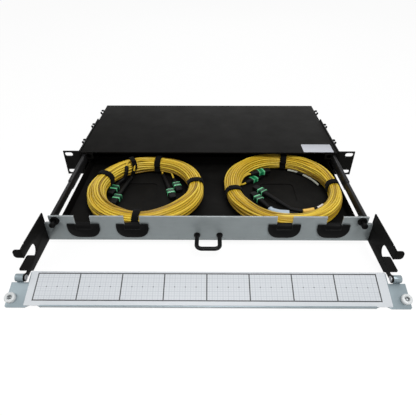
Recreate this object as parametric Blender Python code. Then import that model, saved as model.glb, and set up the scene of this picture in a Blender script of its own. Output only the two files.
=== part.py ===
"""Sliding fibre patch shelf, one rack unit high, drawn out with its front door open.

A black steel chassis with rack ears carries a telescopic drawer. The drawer has a grey
face plate with four cable ports, two side arms, a bow handle and two plunger latches. A
drop-down door hangs on the arms. Two coils of cable with their connectors lie in the tray.

Frame: X to the right, Y to the rear, Z up. The origin is on the rack's mounting plane, at
the back of the ears, half way between them and level with the underside of the chassis.
Lengths below are in millimetres and angles in degrees; meshes are written in metres.
"""

import math
from dataclasses import dataclass

import bmesh
import bpy
from mathutils import Matrix, Vector

MM = 0.001

FULL_TURN = 360.0

# Clearances between pieces
FIT = 0.3
SLIDE_FIT = 0.4
SEATED = 0.7

# Rack ears
RACK_WIDTH = 482.6
EAR_HEIGHT = 43.7
EAR_SHEET = 2.0
EAR_REACH = 28.3
EAR_SLOT_INSET = 8.75
EAR_SLOT_SPACING = RACK_WIDTH - 2 * EAR_SLOT_INSET
EAR_SLOT_PITCH = 31.75
EAR_SLOT_WIDTH = 13.0
EAR_SLOT_HEIGHT = 6.5
EAR_FLANGE_DEPTH = 130.0
EAR_BEND = 2.2

# Chassis box
CHASSIS_WIDTH = RACK_WIDTH - 2 * EAR_REACH
CHASSIS_DEPTH = 201.0
CHASSIS_HEIGHT = 42.4
CHASSIS_SHEET = 1.2
CHASSIS_BEND = 1.6
CHASSIS_LIP = 9.0
COVER_SHEET = 1.2
COVER_HEM_DEPTH = 8.0
CABLE_HOLE_DIAMETER = 22.0
CABLE_HOLE_INSET = 34.0
CABLE_HOLE_RISE = 19.0

# Cable hooks on the chassis sides
HOOK_FIRST = 50.0
HOOK_LAST_INSET = 19.0
HOOK_COUNT = 3
HOOK_PITCH = (CHASSIS_DEPTH - HOOK_LAST_INSET - HOOK_FIRST) / (HOOK_COUNT - 1)
HOOK_HEIGHT = 34.0
HOOK_OUTER_DIAMETER = 10.0
HOOK_INNER_DIAMETER = 5.2
HOOK_WIDTH = 4.0
HOOK_GAP_ANGLE = 58.0
HOOK_MOUTH_ANGLE = 35.0
HOOK_FOOT_HEIGHT = 7.0
HOOK_FOOT_SHEET = 1.0

# Telescopic slides
SLIDE_START = 1.0
SLIDE_END_GAP = 10.0
SLIDE_LENGTH = CHASSIS_DEPTH - SLIDE_START - SLIDE_END_GAP
SLIDE_SHEET = 1.0
SLIDE_RISE = 29.75
CABINET_RAIL_HEIGHT = 18.4
RAIL_FLANGE_REACH = 4.8
DRAWER_RAIL_SHEET = 1.2
DRAWER_RAIL_REACH = 3.9
RAIL_BEND = 1.1
RAIL_TAB_HEIGHT = 6.0

# Drawer tray
DRAWER_REACH = 171.7
CLOSED_GAP = 2.0
TRAY_SHEET = 1.2
TRAY_WALL_HEIGHT = 20.0
TRAY_UNDERSIDE = 3.2
TRAY_SIDE_GAP = 1.6
TRAY_REAR_OVERLAP = 26.0
TRAY_BEND = 1.6
TRAY_FRONT_LIP = 3.4
RECESS_SIZE = 56.0
RECESS_DEPTH = 1.5
RECESS_CORNER = 9.0
RECESS_INSET = 93.7
RECESS_BACK = 65.0
BRACKET_LENGTH = 20.0
BRACKET_RISE = 15.5

# Face plate and its four cable ports
FACE_OVERHANG = 2.1
FACE_WIDTH = CHASSIS_WIDTH + 2 * FACE_OVERHANG
FACE_BOTTOM = 1.15
FACE_TOP = 41.3
FACE_SHEET = 2.0
FACE_NOTCH_WIDTH = 7.1
FACE_NOTCH_RISE = 30.0
PORT_INSET = 50.6
PORT_PITCH = 64.5
PORT_THROAT = 20.5
PORT_WIDTH = 42.5
PORT_SHOULDER = 29.3
PORT_BOTTOM = 7.2
PORT_CORNER = 14.5
PORT_RIM = 1.5
PORT_RIM_SHEET = 1.4
PORT_BODY_DEPTH = 3.5

# Bow handle
HANDLE_SPAN = 30.0
HANDLE_REACH = 27.0
HANDLE_DIAMETER = 5.6
HANDLE_BEND = 7.0
HANDLE_RISE = 10.4

# Plunger latches
LATCH_INSET = 15.4
LATCH_RISE = 34.6
LATCH_BUSH_DIAMETER = 12.0
LATCH_BUSH_FLANGE = 2.2
LATCH_SLEEVE_DIAMETER = 7.6
LATCH_SLEEVE_LENGTH = 8.0
LATCH_PLUNGER_DIAMETER = 4.4
LATCH_HEAD_DIAMETER = 8.0
LATCH_HEAD_LENGTH = 4.0
LATCH_TRAVEL = 5.0
LATCH_END_GAP = 0.9
KEEPER_SHEET = 1.2
KEEPER_WIDTH = 14.0
KEEPER_FLANGE = 9.0
KEEPER_DROP = 5.0

# Side arms
ARM_SHEET = 1.5
ARM_GAP = 0.2
ARM_BOTTOM = 0.5
ARM_TOP = 44.0
ARM_FRONT = 66.3
ARM_SLOT_DEPTH = 43.9
ARM_SLOT_RADIUS = 9.0
ARM_SLOT_RISE = 21.0
ARM_FLANGE_WIDTH = 11.0
ARM_FLANGE_HEIGHT = 20.0
FINGER_REACH = 10.7
FINGER_BOTTOM = 31.0
FINGER_TOP = 43.0
FINGER_CORNER = 4.0
PADDLE_REACH = 18.2
PADDLE_LENGTH = 26.0
PADDLE_FRONT = 57.3
PADDLE_CORNER = 2.0
TAIL_HEIGHT = 6.2

# Door hinge and door
HINGE_FORWARD = 76.2
HINGE_RISE = 8.75
HINGE_NOSE_RADIUS = 4.75
HINGE_PIN_DIAMETER = 4.0
HINGE_PIN_CLEARANCE = 0.3
HINGE_HEAD_DIAMETER = 7.0
HINGE_HEAD_THICKNESS = 1.2
DOOR_DROOP = 20.5
DOOR_OVERHANG = 15.2
DOOR_EAR_WIDTH = 20.0
DOOR_SHEET = 1.4
DOOR_OFFSET = 3.1
DOOR_BACK = 9.3
DOOR_FRONT = 34.9
DOOR_EAR_BACK = 4.6
DOOR_LIP_INSET = 42.0
DOOR_LIP_HEIGHT = 5.0
DOOR_RELIEF_WIDTH = 18.0
DOOR_RELIEF_DEPTH = 3.0
DOOR_RELIEF_INSET = 32.0
KNUCKLE_DIAMETER = 9.2
KNUCKLE_LENGTH = 9.4
CARD_INSET = 21.5
CARD_SHEET = 0.8
CARD_BACK = 8.6
CARD_FRONT = 33.0
BUMPER_DIAMETER = 12.5
BUMPER_STUD_DIAMETER = 5.5
BUMPER_HEIGHT = 4.0
BUMPER_STUD_HEIGHT = 1.6
BUMPER_INSET = 4.5
BUMPER_FORWARD = 24.2

# Cable coils: oval rings of turns, which swell between their straps
CABLE_DIAMETER = 3.0
COIL_BOTTOM = 6.3
COIL_SQUARENESS = 2.6
COIL_SECTION_POINTS = 16
COIL_STEPS = 48
COIL_SWELL_WIDTH = 0.22
COIL_SWELL_HEIGHT = 0.08
COIL_SWELL_ANGLE = 16.0
COIL_HELD_ANGLE = 6.0
LEFT_COIL_INSET = 109.5
LEFT_COIL_BACK = 76.0
LEFT_COIL_ACROSS = 149.8
LEFT_COIL_ALONG = 152.6
LEFT_COIL_TURN = 0.0
LEFT_COIL_WIDTH = 24.2
LEFT_COIL_HEIGHT = 23.2
LEFT_COIL_LEAN = 0.05
LEFT_COIL_RISE = 0.0
RIGHT_COIL_INSET = 88.5
RIGHT_COIL_BACK = 71.5
RIGHT_COIL_ACROSS = 151.6
RIGHT_COIL_ALONG = 163.0
RIGHT_COIL_TURN = 7.3
RIGHT_COIL_WIDTH = 20.4
RIGHT_COIL_HEIGHT = 21.6
RIGHT_COIL_LEAN = 0.15
RIGHT_COIL_RISE = 0.17

# Hook-and-loop straps, each at an angle around its coil
STRAP_WIDTH = 10.0
STRAP_SHEET = 1.0
STRAP_FIT = 0.55
LEFT_STRAP_ANGLES = (82.0, 10.0, -94.0, 158.0)
RIGHT_STRAP_ANGLES = (73.0, -176.5, -4.6)

# Connectors on the cable ends
HOUSING_WIDTH = 12.4
HOUSING_HEIGHT = 7.7
HOUSING_LENGTH = 12.0
CAP_WIDTH = 11.0
CAP_HEIGHT = 6.6
CAP_LENGTH = 11.0
BOOT_REAR_DIAMETER = 4.6
BOOT_FRONT_DIAMETER = 6.8
BOOT_COLLAR = 5.0
SLEEVE_DIAMETER = 8.4

# Planes and places that follow from the sizes above
EAR_FRONT = -EAR_SHEET
FACE_FRONT = EAR_FRONT - DRAWER_REACH
FACE_REAR = FACE_FRONT + FACE_SHEET
ARM_INNER = FACE_WIDTH / 2 + ARM_GAP
ARM_OUTER = ARM_INNER + ARM_SHEET
ARM_REAR = FACE_REAR + FIT + ARM_SHEET
DRAWER_TRAVEL = EAR_FRONT - ARM_REAR - CLOSED_GAP
WALL_OUTER = CHASSIS_WIDTH / 2
WALL_INNER = WALL_OUTER - CHASSIS_SHEET
COVER_UNDERSIDE = CHASSIS_HEIGHT - COVER_SHEET
SIDE_TOP = COVER_UNDERSIDE - FIT
CABINET_WEB = WALL_INNER - FIT
MIDDLE_WEB = CABINET_WEB - SLIDE_SHEET - SLIDE_FIT
DRAWER_TIP = MIDDLE_WEB - SLIDE_SHEET - SLIDE_FIT
DRAWER_WEB = DRAWER_TIP - DRAWER_RAIL_REACH
MIDDLE_RAIL_HEIGHT = CABINET_RAIL_HEIGHT - 2 * (SLIDE_SHEET + SLIDE_FIT)
DRAWER_RAIL_HEIGHT = MIDDLE_RAIL_HEIGHT - 2 * (SLIDE_SHEET + SLIDE_FIT)
TRAY_OUTER = DRAWER_WEB - TRAY_SIDE_GAP
TRAY_FLOOR = TRAY_UNDERSIDE + TRAY_SHEET
TRAY_REAR = TRAY_REAR_OVERLAP - EAR_SHEET
TRAY_FRONT = FACE_REAR + FIT
LATCH_STAND_OUT = FIT + LATCH_BUSH_FLANGE + LATCH_TRAVEL + LATCH_END_GAP + LATCH_HEAD_LENGTH
HINGE_Y = FACE_FRONT - HINGE_FORWARD
LATCH_X = FACE_WIDTH / 2 - LATCH_INSET
FACE_NOTCH_X = FACE_WIDTH / 2 - FACE_NOTCH_WIDTH
DOOR_EDGE = ARM_OUTER + DOOR_OVERHANG
KNUCKLE_INNER = ARM_OUTER + FIT
KNUCKLE_OUTER = KNUCKLE_INNER + KNUCKLE_LENGTH


def clear_scene():
    """Remove whatever objects the new file holds."""
    for thing in list(bpy.data.objects):
        bpy.data.objects.remove(thing, do_unlink=True)


def finish(name, colour, roughness, metallic=0.0):
    """One Principled material."""
    made = bpy.data.materials.new(name)
    made.use_nodes = True
    shader = made.node_tree.nodes["Principled BSDF"]
    shader.inputs["Base Color"].default_value = (*colour, 1.0)
    shader.inputs["Roughness"].default_value = roughness
    shader.inputs["Metallic"].default_value = metallic
    return made


FINISHES = {
    "chassis": ((0.030, 0.028, 0.027), 0.55, 0.0),
    "slide": ((0.10, 0.10, 0.10), 0.38, 0.8),
    "face": ((0.22, 0.22, 0.23), 0.45, 0.3),
    "plastic": ((0.016, 0.016, 0.017), 0.48, 0.0),
    "door": ((0.38, 0.41, 0.44), 0.40, 0.3),
    "card": ((0.90, 0.90, 0.89), 0.60, 0.0),
    "nylon": ((0.85, 0.85, 0.83), 0.45, 0.0),
    "cable": ((0.72, 0.50, 0.07), 0.50, 0.0),
    "strap": ((0.012, 0.012, 0.014), 0.85, 0.0),
    "connector": ((0.02, 0.02, 0.022), 0.45, 0.0),
    "steel": ((0.45, 0.45, 0.46), 0.30, 1.0),
}


def own_finish(name, kind):
    colour, roughness, metallic = FINISHES[kind]
    return finish(name + "_finish", colour, roughness, metallic)


def place(name, shape, kind=None, smooth=30.0):
    """Turn a bmesh drawn in millimetres into an object in metres."""
    bmesh.ops.remove_doubles(shape, verts=shape.verts, dist=1e-4)
    bmesh.ops.recalc_face_normals(shape, faces=shape.faces)
    bmesh.ops.scale(shape, vec=(MM, MM, MM), verts=shape.verts)
    mesh = bpy.data.meshes.new(name)
    shape.to_mesh(mesh)
    shape.free()
    thing = bpy.data.objects.new(name, mesh)
    bpy.context.scene.collection.objects.link(thing)
    if kind:
        mesh.materials.append(own_finish(name, kind))
    if smooth:
        mesh.shade_smooth()
        mesh.set_sharp_from_angle(angle=math.radians(smooth))
    return thing


def apply_tool(target, tool, operation):
    """Cut or join a helper solid into a piece, and keep the helper out of sight."""
    step = target.modifiers.new(operation.lower(), "BOOLEAN")
    step.object = tool
    step.operation = operation
    tool.hide_render = True
    tool.display_type = "WIRE"
    tool.parent = target.parent
    return target


def cut(target, tool):
    return apply_tool(target, tool, "DIFFERENCE")


def join(target, tool):
    return apply_tool(target, tool, "UNION")


def prism(outline, axis, low, high):
    """A solid with a flat outline, drawn out along one axis.

    The outline's two numbers are Y and Z for axis X, X and Z for Y, and X and Y for Z.
    """
    order = {"X": (2, 0, 1), "Y": (0, 2, 1), "Z": (0, 1, 2)}[axis]
    shape = bmesh.new()
    rings = []
    for level in (low, high):
        ring = []
        for a, b in outline:
            spot = (a, b, level)
            ring.append(shape.verts.new([spot[i] for i in order]))
        rings.append(ring)
    shape.faces.new(rings[0])
    shape.faces.new(list(reversed(rings[1])))
    count = len(outline)
    for i in range(count):
        j = (i + 1) % count
        shape.faces.new((rings[0][i], rings[1][i], rings[1][j], rings[0][j]))
    return shape


def arc(centre, radius, start, end, steps):
    """Points along an arc, both ends included."""
    points = []
    for i in range(steps + 1):
        angle = math.radians(start + (end - start) * i / steps)
        points.append((centre[0] + radius * math.cos(angle), centre[1] + radius * math.sin(angle)))
    return points


def rounded_box_outline(low, high, radii, steps=4):
    """A rectangle whose corners have their own radii, from the low corner anticlockwise."""
    (x0, y0), (x1, y1) = low, high
    corners = ((x0, y0, 180), (x1, y0, 270), (x1, y1, 0), (x0, y1, 90))
    points = []
    for (x, y, start), radius in zip(corners, radii):
        if radius <= 0:
            points.append((x, y))
            continue
        inward_x = radius if x == x0 else -radius
        inward_y = radius if y == y0 else -radius
        points += arc((x + inward_x, y + inward_y), radius, start, start + 90, steps)
    return points


def bent_sheet(path, thickness, bend, steps=3):
    """The outline of a folded sheet that follows a middle line, with rounded folds."""
    line = []
    for i, spot in enumerate(path):
        here = Vector(spot)
        if i in (0, len(path) - 1):
            other = Vector(path[1] if i == 0 else path[-2])
            along = (other - here) if i == 0 else (here - other)
            line.append((here, along.normalized()))
            continue
        before = (here - Vector(path[i - 1])).normalized()
        after = (Vector(path[i + 1]) - here).normalized()
        turn = before.angle_signed(after)
        back = bend * math.tan(abs(turn) / 2)
        side = Vector((-before.y, before.x)) * (1 if turn < 0 else -1)
        start = here - before * back
        centre = start + side * bend
        for k in range(steps + 1):
            part = turn * k / steps
            spoke = Matrix.Rotation(-part, 2) @ (start - centre)
            heading = Matrix.Rotation(-part, 2) @ before
            line.append((centre + spoke, heading))
    left = [(p.x - d.y * thickness / 2, p.y + d.x * thickness / 2) for p, d in line]
    right = [(p.x + d.y * thickness / 2, p.y - d.x * thickness / 2) for p, d in line]
    return left + list(reversed(right))


def box(low, high):
    outline = [(low[0], low[1]), (high[0], low[1]), (high[0], high[1]), (low[0], high[1])]
    return prism(outline, "Z", low[2], high[2])


def turned(profile, axis, centre, steps=32):
    """A solid of revolution. The profile is a closed loop of (radius, height) points.

    A point at radius 0 lies on the axis, which runs along X, Y or Z through the centre.
    """
    shape = bmesh.new()
    rings = []
    for k in range(steps):
        angle = 2 * math.pi * k / steps
        ring = []
        for radius, height in profile:
            a = radius * math.cos(angle)
            b = radius * math.sin(angle)
            spot = {"X": (height, a, b), "Y": (a, height, b), "Z": (a, b, height)}[axis]
            ring.append(shape.verts.new([s + c for s, c in zip(spot, centre)]))
        rings.append(ring)
    count = len(profile)
    for k in range(steps):
        here = rings[k]
        following = rings[(k + 1) % steps]
        for i in range(count):
            j = (i + 1) % count
            if profile[i][0] == 0 and profile[j][0] == 0:
                continue
            corners = [here[i], following[i], following[j], here[j]]
            if profile[i][0] == 0:
                corners = [here[i], following[j], here[j]]
            elif profile[j][0] == 0:
                corners = [here[i], following[i], here[j]]
            shape.faces.new(corners)
    on_axis = [v for ring in rings for v, p in zip(ring, profile) if p[0] == 0]
    bmesh.ops.remove_doubles(shape, verts=on_axis, dist=1e-4)
    return shape


def rod(axis, centre, radius, low, high, steps=24):
    """A plain round bar along an axis through the centre."""
    profile = [(0, low), (radius, low), (radius, high), (0, high)]
    return turned(profile, axis, centre, steps)


def obround(centre, width, height, steps=8):
    """A slot outline with round ends."""
    radius = height / 2
    reach = width / 2 - radius
    right = arc((centre[0] + reach, centre[1]), radius, -90, 90, steps)
    left = arc((centre[0] - reach, centre[1]), radius, 90, 270, steps)
    return right + left


def side_name(side):
    return "left" if side < 0 else "right"


def turn_over(outline, side):
    """Mirror an outline whose first number is X, for the left side."""
    return [(side * a, b) for a, b in outline]


def make_chassis():
    """The folded base, its rear wall with two cable holes, and the flat cover."""
    half = CHASSIS_SHEET / 2
    wall = WALL_OUTER - half
    lip = SIDE_TOP - half
    path = [
        (-WALL_INNER + CHASSIS_LIP, lip),
        (-wall, lip),
        (-wall, half),
        (wall, half),
        (wall, lip),
        (WALL_INNER - CHASSIS_LIP, lip),
    ]
    outline = bent_sheet(path, CHASSIS_SHEET, CHASSIS_BEND)
    base = place("chassis_base", prism(outline, "Y", EAR_FRONT, CHASSIS_DEPTH), "chassis")
    rear = box(
        (-wall, CHASSIS_DEPTH - CHASSIS_SHEET - 0.2, half),
        (wall, CHASSIS_DEPTH - 0.2, SIDE_TOP - 0.1),
    )
    join(base, place("rear_wall_tool", rear, smooth=0))
    for side in (-1, 1):
        spot = (side * (WALL_INNER - CABLE_HOLE_INSET), 0, CABLE_HOLE_RISE)
        radius = CABLE_HOLE_DIAMETER / 2
        hole = rod("Y", spot, radius, CHASSIS_DEPTH - 4, CHASSIS_DEPTH + 3, 28)
        cut(base, place(side_name(side) + "_cable_hole_tool", hole, smooth=0))

    width = WALL_OUTER - 0.7
    top = CHASSIS_HEIGHT - COVER_SHEET / 2
    rear_face = CHASSIS_DEPTH + FIT + COVER_SHEET / 2
    path = [(EAR_FRONT, top), (rear_face, top), (rear_face, top - COVER_HEM_DEPTH)]
    outline = bent_sheet(path, COVER_SHEET, CHASSIS_BEND)
    cover = place("top_cover", prism(outline, "X", -width, width), "chassis")
    inset = WALL_INNER - CHASSIS_LIP - FIT
    hem = box(
        (-inset, EAR_FRONT + 0.1, COVER_UNDERSIDE - COVER_SHEET),
        (inset, EAR_FRONT + COVER_HEM_DEPTH, COVER_UNDERSIDE + 0.2),
    )
    join(cover, place("cover_hem_tool", hem, smooth=0))


def make_ear(side):
    """A rack ear: an angle with two oblong holes, its long flange along the side wall."""
    half = EAR_SHEET / 2
    inner = WALL_OUTER + FIT + half
    path = [
        (RACK_WIDTH / 2, EAR_FRONT + half),
        (inner, EAR_FRONT + half),
        (inner, EAR_FLANGE_DEPTH),
    ]
    outline = turn_over(bent_sheet(path, EAR_SHEET, EAR_BEND), side)
    bottom = (CHASSIS_HEIGHT - EAR_HEIGHT) / 2 + 0.8
    ear = place(side_name(side) + "_rack_ear", prism(outline, "Z", bottom, bottom + EAR_HEIGHT), "chassis")
    middle = bottom + EAR_HEIGHT / 2
    for level in (-1, 1):
        centre = (side * EAR_SLOT_SPACING / 2, middle + level * EAR_SLOT_PITCH / 2)
        slot = prism(obround(centre, EAR_SLOT_WIDTH, EAR_SLOT_HEIGHT), "Y", -6, 4)
        cut(ear, place(ear.name + "_slot_tool", slot, smooth=0))


def make_hook(side, number):
    """An open cable hook, seated on the ear's long flange or on the bare side wall."""
    y = HOOK_FIRST + HOOK_PITCH * number
    on_ear = y + HOOK_WIDTH < EAR_FLANGE_DEPTH
    seat = WALL_OUTER + FIT + ((EAR_SHEET + FIT) if on_ear else 0)
    outer = HOOK_OUTER_DIAMETER / 2
    inner = HOOK_INNER_DIAMETER / 2
    centre = (seat + HOOK_FOOT_SHEET + outer - 0.4, HOOK_HEIGHT)
    half = HOOK_GAP_ANGLE / 2
    opens = HOOK_MOUTH_ANGLE + half
    closes = HOOK_MOUTH_ANGLE + FULL_TURN - half
    outline = arc(centre, outer, opens, closes, 20)
    outline += arc(centre, inner, closes, opens, 14)
    name = side_name(side) + "_cable_hook_" + str(number + 1)
    hook = place(name, prism(turn_over(outline, side), "Y", y, y + HOOK_WIDTH), "plastic")
    low = HOOK_HEIGHT - HOOK_FOOT_HEIGHT / 2
    foot = rounded_box_outline(
        (seat, low), (seat + HOOK_FOOT_SHEET + 0.6, low + HOOK_FOOT_HEIGHT), (0.4, 0.4, 0.4, 0.4), 2
    )
    foot_solid = prism(turn_over(foot, side), "Y", y - 1.2, y + HOOK_WIDTH + 1.2)
    join(hook, place(name + "_foot_tool", foot_solid, smooth=0))


def rail_outline(side, web, reach, height, sheet):
    """A channel section that opens inward from its web, mirrored for the left side."""
    half = sheet / 2
    low = SLIDE_RISE - height / 2 + half
    high = SLIDE_RISE + height / 2 - half
    direction = -1 if reach > 0 else 1
    tip = web + direction * abs(reach)
    middle = web + direction * half
    path = [(tip, low), (middle, low), (middle, high), (tip, high)]
    return turn_over(bent_sheet(path, sheet, RAIL_BEND), side)


def make_cabinet_rail(side):
    outline = rail_outline(side, CABINET_WEB, RAIL_FLANGE_REACH, CABINET_RAIL_HEIGHT, SLIDE_SHEET)
    shape = prism(outline, "Y", SLIDE_START, SLIDE_START + SLIDE_LENGTH)
    place(side_name(side) + "_cabinet_rail", shape, "slide")


def make_middle_rail(side):
    outline = rail_outline(side, MIDDLE_WEB, RAIL_FLANGE_REACH, MIDDLE_RAIL_HEIGHT, SLIDE_SHEET)
    start = SLIDE_START - DRAWER_TRAVEL / 2
    place(side_name(side) + "_middle_rail", prism(outline, "Y", start, start + SLIDE_LENGTH), "slide")


def make_drawer_rail(side):
    """The slide's inner member, with a tab at its front that seats behind the face plate."""
    outline = rail_outline(
        side, DRAWER_WEB, -DRAWER_RAIL_REACH, DRAWER_RAIL_HEIGHT, DRAWER_RAIL_SHEET
    )
    front = TRAY_FRONT
    name = side_name(side) + "_drawer_rail"
    rail = place(name, prism(outline, "Y", front + 0.1, front + SLIDE_LENGTH), "slide")
    low = SLIDE_RISE - DRAWER_RAIL_HEIGHT / 2 + 0.2
    tab = rounded_box_outline(
        (DRAWER_WEB + 0.3, low), (FACE_WIDTH / 2 - FIT, low + RAIL_TAB_HEIGHT), (0, 1.5, 1.5, 0), 3
    )
    solid = prism(turn_over(tab, side), "Y", front, front + DRAWER_RAIL_SHEET)
    join(rail, place(name + "_tab_tool", solid, smooth=0))


def make_tray():
    """The folded tray with a low front lip, two pressed recesses and two rear brackets."""
    half = TRAY_SHEET / 2
    wall = TRAY_OUTER - half
    floor = TRAY_UNDERSIDE + half
    path = [(-wall, TRAY_WALL_HEIGHT), (-wall, floor), (wall, floor), (wall, TRAY_WALL_HEIGHT)]
    outline = bent_sheet(path, TRAY_SHEET, TRAY_BEND)
    tray = place("tray_pan", prism(outline, "Y", TRAY_FRONT, TRAY_REAR), "chassis")

    rear = box(
        (-wall, TRAY_REAR - TRAY_SHEET - 0.1, floor), (wall, TRAY_REAR - 0.1, TRAY_WALL_HEIGHT - 0.1)
    )
    join(tray, place("tray_rear_tool", rear, smooth=0))
    lip = box(
        (-wall + 3, TRAY_FRONT + 0.05, floor),
        (wall - 3, TRAY_FRONT + TRAY_SHEET, TRAY_UNDERSIDE + TRAY_FRONT_LIP),
    )
    join(tray, place("tray_lip_tool", lip, smooth=0))

    for side in (-1, 1):
        jog = TRAY_WALL_HEIGHT + half
        top = TRAY_WALL_HEIGHT + BRACKET_RISE
        upright = DRAWER_WEB - FIT - half
        path = [(wall, TRAY_WALL_HEIGHT - 3), (wall, jog), (upright, jog + 1.2), (upright, top)]
        bracket = turn_over(bent_sheet(path, TRAY_SHEET - 0.02, 0.7, 2), side)
        start = TRAY_REAR - BRACKET_LENGTH - 1
        solid = prism(bracket, "Y", start, start + BRACKET_LENGTH)
        join(tray, place(side_name(side) + "_bracket_tool", solid, smooth=0))

        x = side * (TRAY_OUTER - RECESS_INSET)
        size = RECESS_SIZE / 2
        low = (x - size, -RECESS_BACK - size)
        high = (x + size, -RECESS_BACK + size)
        corner = (RECESS_CORNER,) * 4
        pressed = prism(
            rounded_box_outline(low, high, corner),
            "Z",
            TRAY_UNDERSIDE - RECESS_DEPTH,
            TRAY_UNDERSIDE + TRAY_SHEET / 2,
        )
        join(tray, place(side_name(side) + "_recess_tool", pressed, smooth=0))
        edge = TRAY_SHEET
        low = (low[0] + edge, low[1] + edge)
        high = (high[0] - edge, high[1] - edge)
        corner = (RECESS_CORNER - edge,) * 4
        hollow = prism(
            rounded_box_outline(low, high, corner), "Z", TRAY_FLOOR - RECESS_DEPTH, TRAY_FLOOR + 2
        )
        cut(tray, place(side_name(side) + "_hollow_tool", hollow, smooth=0))


def port_centres():
    far = FACE_WIDTH / 2 - PORT_INSET
    near = far - PORT_PITCH
    return (-far, -near, near, far)


def port_outline(x, rim):
    """The D below a port's throat, with flat shoulders and round lower corners."""
    half = PORT_WIDTH / 2 - rim
    low = (x - half, PORT_BOTTOM + rim)
    high = (x + half, PORT_SHOULDER - rim)
    radius = PORT_CORNER - rim
    return rounded_box_outline(low, high, (radius, radius, 0, 0), 6)


def make_face_plate():
    """The drawer's front: notched top corners and four ports open to the top edge."""
    edge = FACE_WIDTH / 2
    outline = [(-edge, FACE_BOTTOM), (edge, FACE_BOTTOM), (edge, FACE_NOTCH_RISE)]
    outline += [(FACE_NOTCH_X, FACE_NOTCH_RISE), (FACE_NOTCH_X, FACE_TOP)]
    for x in reversed(port_centres()):
        half = PORT_THROAT / 2
        shoulder = PORT_SHOULDER - PORT_RIM
        below = list(reversed(port_outline(x, PORT_RIM)[:-2]))
        reach = PORT_WIDTH / 2 - PORT_RIM
        outline += [(x + half, FACE_TOP), (x + half, shoulder), (x + reach, shoulder)]
        outline += below
        outline += [(x - reach, shoulder), (x - half, shoulder), (x - half, FACE_TOP)]
    outline += [(-FACE_NOTCH_X, FACE_TOP), (-FACE_NOTCH_X, FACE_NOTCH_RISE)]
    outline += [(-edge, FACE_NOTCH_RISE)]
    plate = place("face_plate", prism(outline, "Y", FACE_FRONT, FACE_REAR), "face")
    for side in (-1, 1):
        spot = (side * LATCH_X, 0, LATCH_RISE)
        radius = LATCH_SLEEVE_DIAMETER / 2 + FIT
        hole = rod("Y", spot, radius, FACE_FRONT - 3, FACE_REAR + 3, 24)
        cut(plate, place(side_name(side) + "_latch_hole_tool", hole, smooth=0))


def make_port_insert(number, x):
    """A black bend guide that fills a port's D, with a rounded sill for the cables."""
    rim_front = FACE_FRONT - FIT - PORT_RIM_SHEET
    rear = FACE_REAR + PORT_BODY_DEPTH
    name = "port_insert_" + str(number)
    outline = rounded_box_outline(
        (x - PORT_WIDTH / 2, PORT_BOTTOM),
        (x + PORT_WIDTH / 2, PORT_SHOULDER),
        (PORT_CORNER, PORT_CORNER, 1.0, 1.0),
        6,
    )
    insert = place(name, prism(outline, "Y", rim_front, FACE_FRONT - FIT), "plastic")
    body = prism(port_outline(x, PORT_RIM + FIT), "Y", FACE_FRONT - FIT - 0.5, rear)
    join(insert, place(name + "_body_tool", body, smooth=0))
    radius = rear - rim_front - 0.6
    crest = PORT_SHOULDER - PORT_RIM - FIT
    centre = (rear, crest - radius)
    sill = arc(centre, radius, 90, 180, 6)
    outline = sill + [(rim_front - 2, crest - radius), (rim_front - 2, FACE_TOP), (rear, FACE_TOP)]
    half = PORT_THROAT / 2
    scoop = prism(outline, "X", x - half, x + half)
    cut(insert, place(name + "_sill_tool", scoop, smooth=0))


def make_handle():
    """A round steel bow that stands out from the face plate."""
    front = FACE_FRONT - HANDLE_REACH
    half = HANDLE_SPAN / 2
    start = FACE_FRONT - FIT
    bend = HANDLE_BEND
    right = arc((half - bend, front + bend), bend, 0, -90, 6)
    left = arc((-half + bend, front + bend), bend, -90, -180, 6)
    points = [(half, start)] + right + left + [(-half, start)]
    curve = bpy.data.curves.new("pull_handle", "CURVE")
    curve.dimensions = "3D"
    curve.bevel_depth = HANDLE_DIAMETER / 2 * MM
    curve.bevel_resolution = 3
    curve.use_fill_caps = True
    line = curve.splines.new("POLY")
    line.points.add(len(points) - 1)
    for spot, (x, y) in zip(line.points, points):
        spot.co = (x * MM, y * MM, HANDLE_RISE * MM, 1.0)
    curve.materials.append(own_finish("pull_handle", "plastic"))
    handle = bpy.data.objects.new("pull_handle", curve)
    bpy.context.scene.collection.objects.link(handle)


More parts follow.
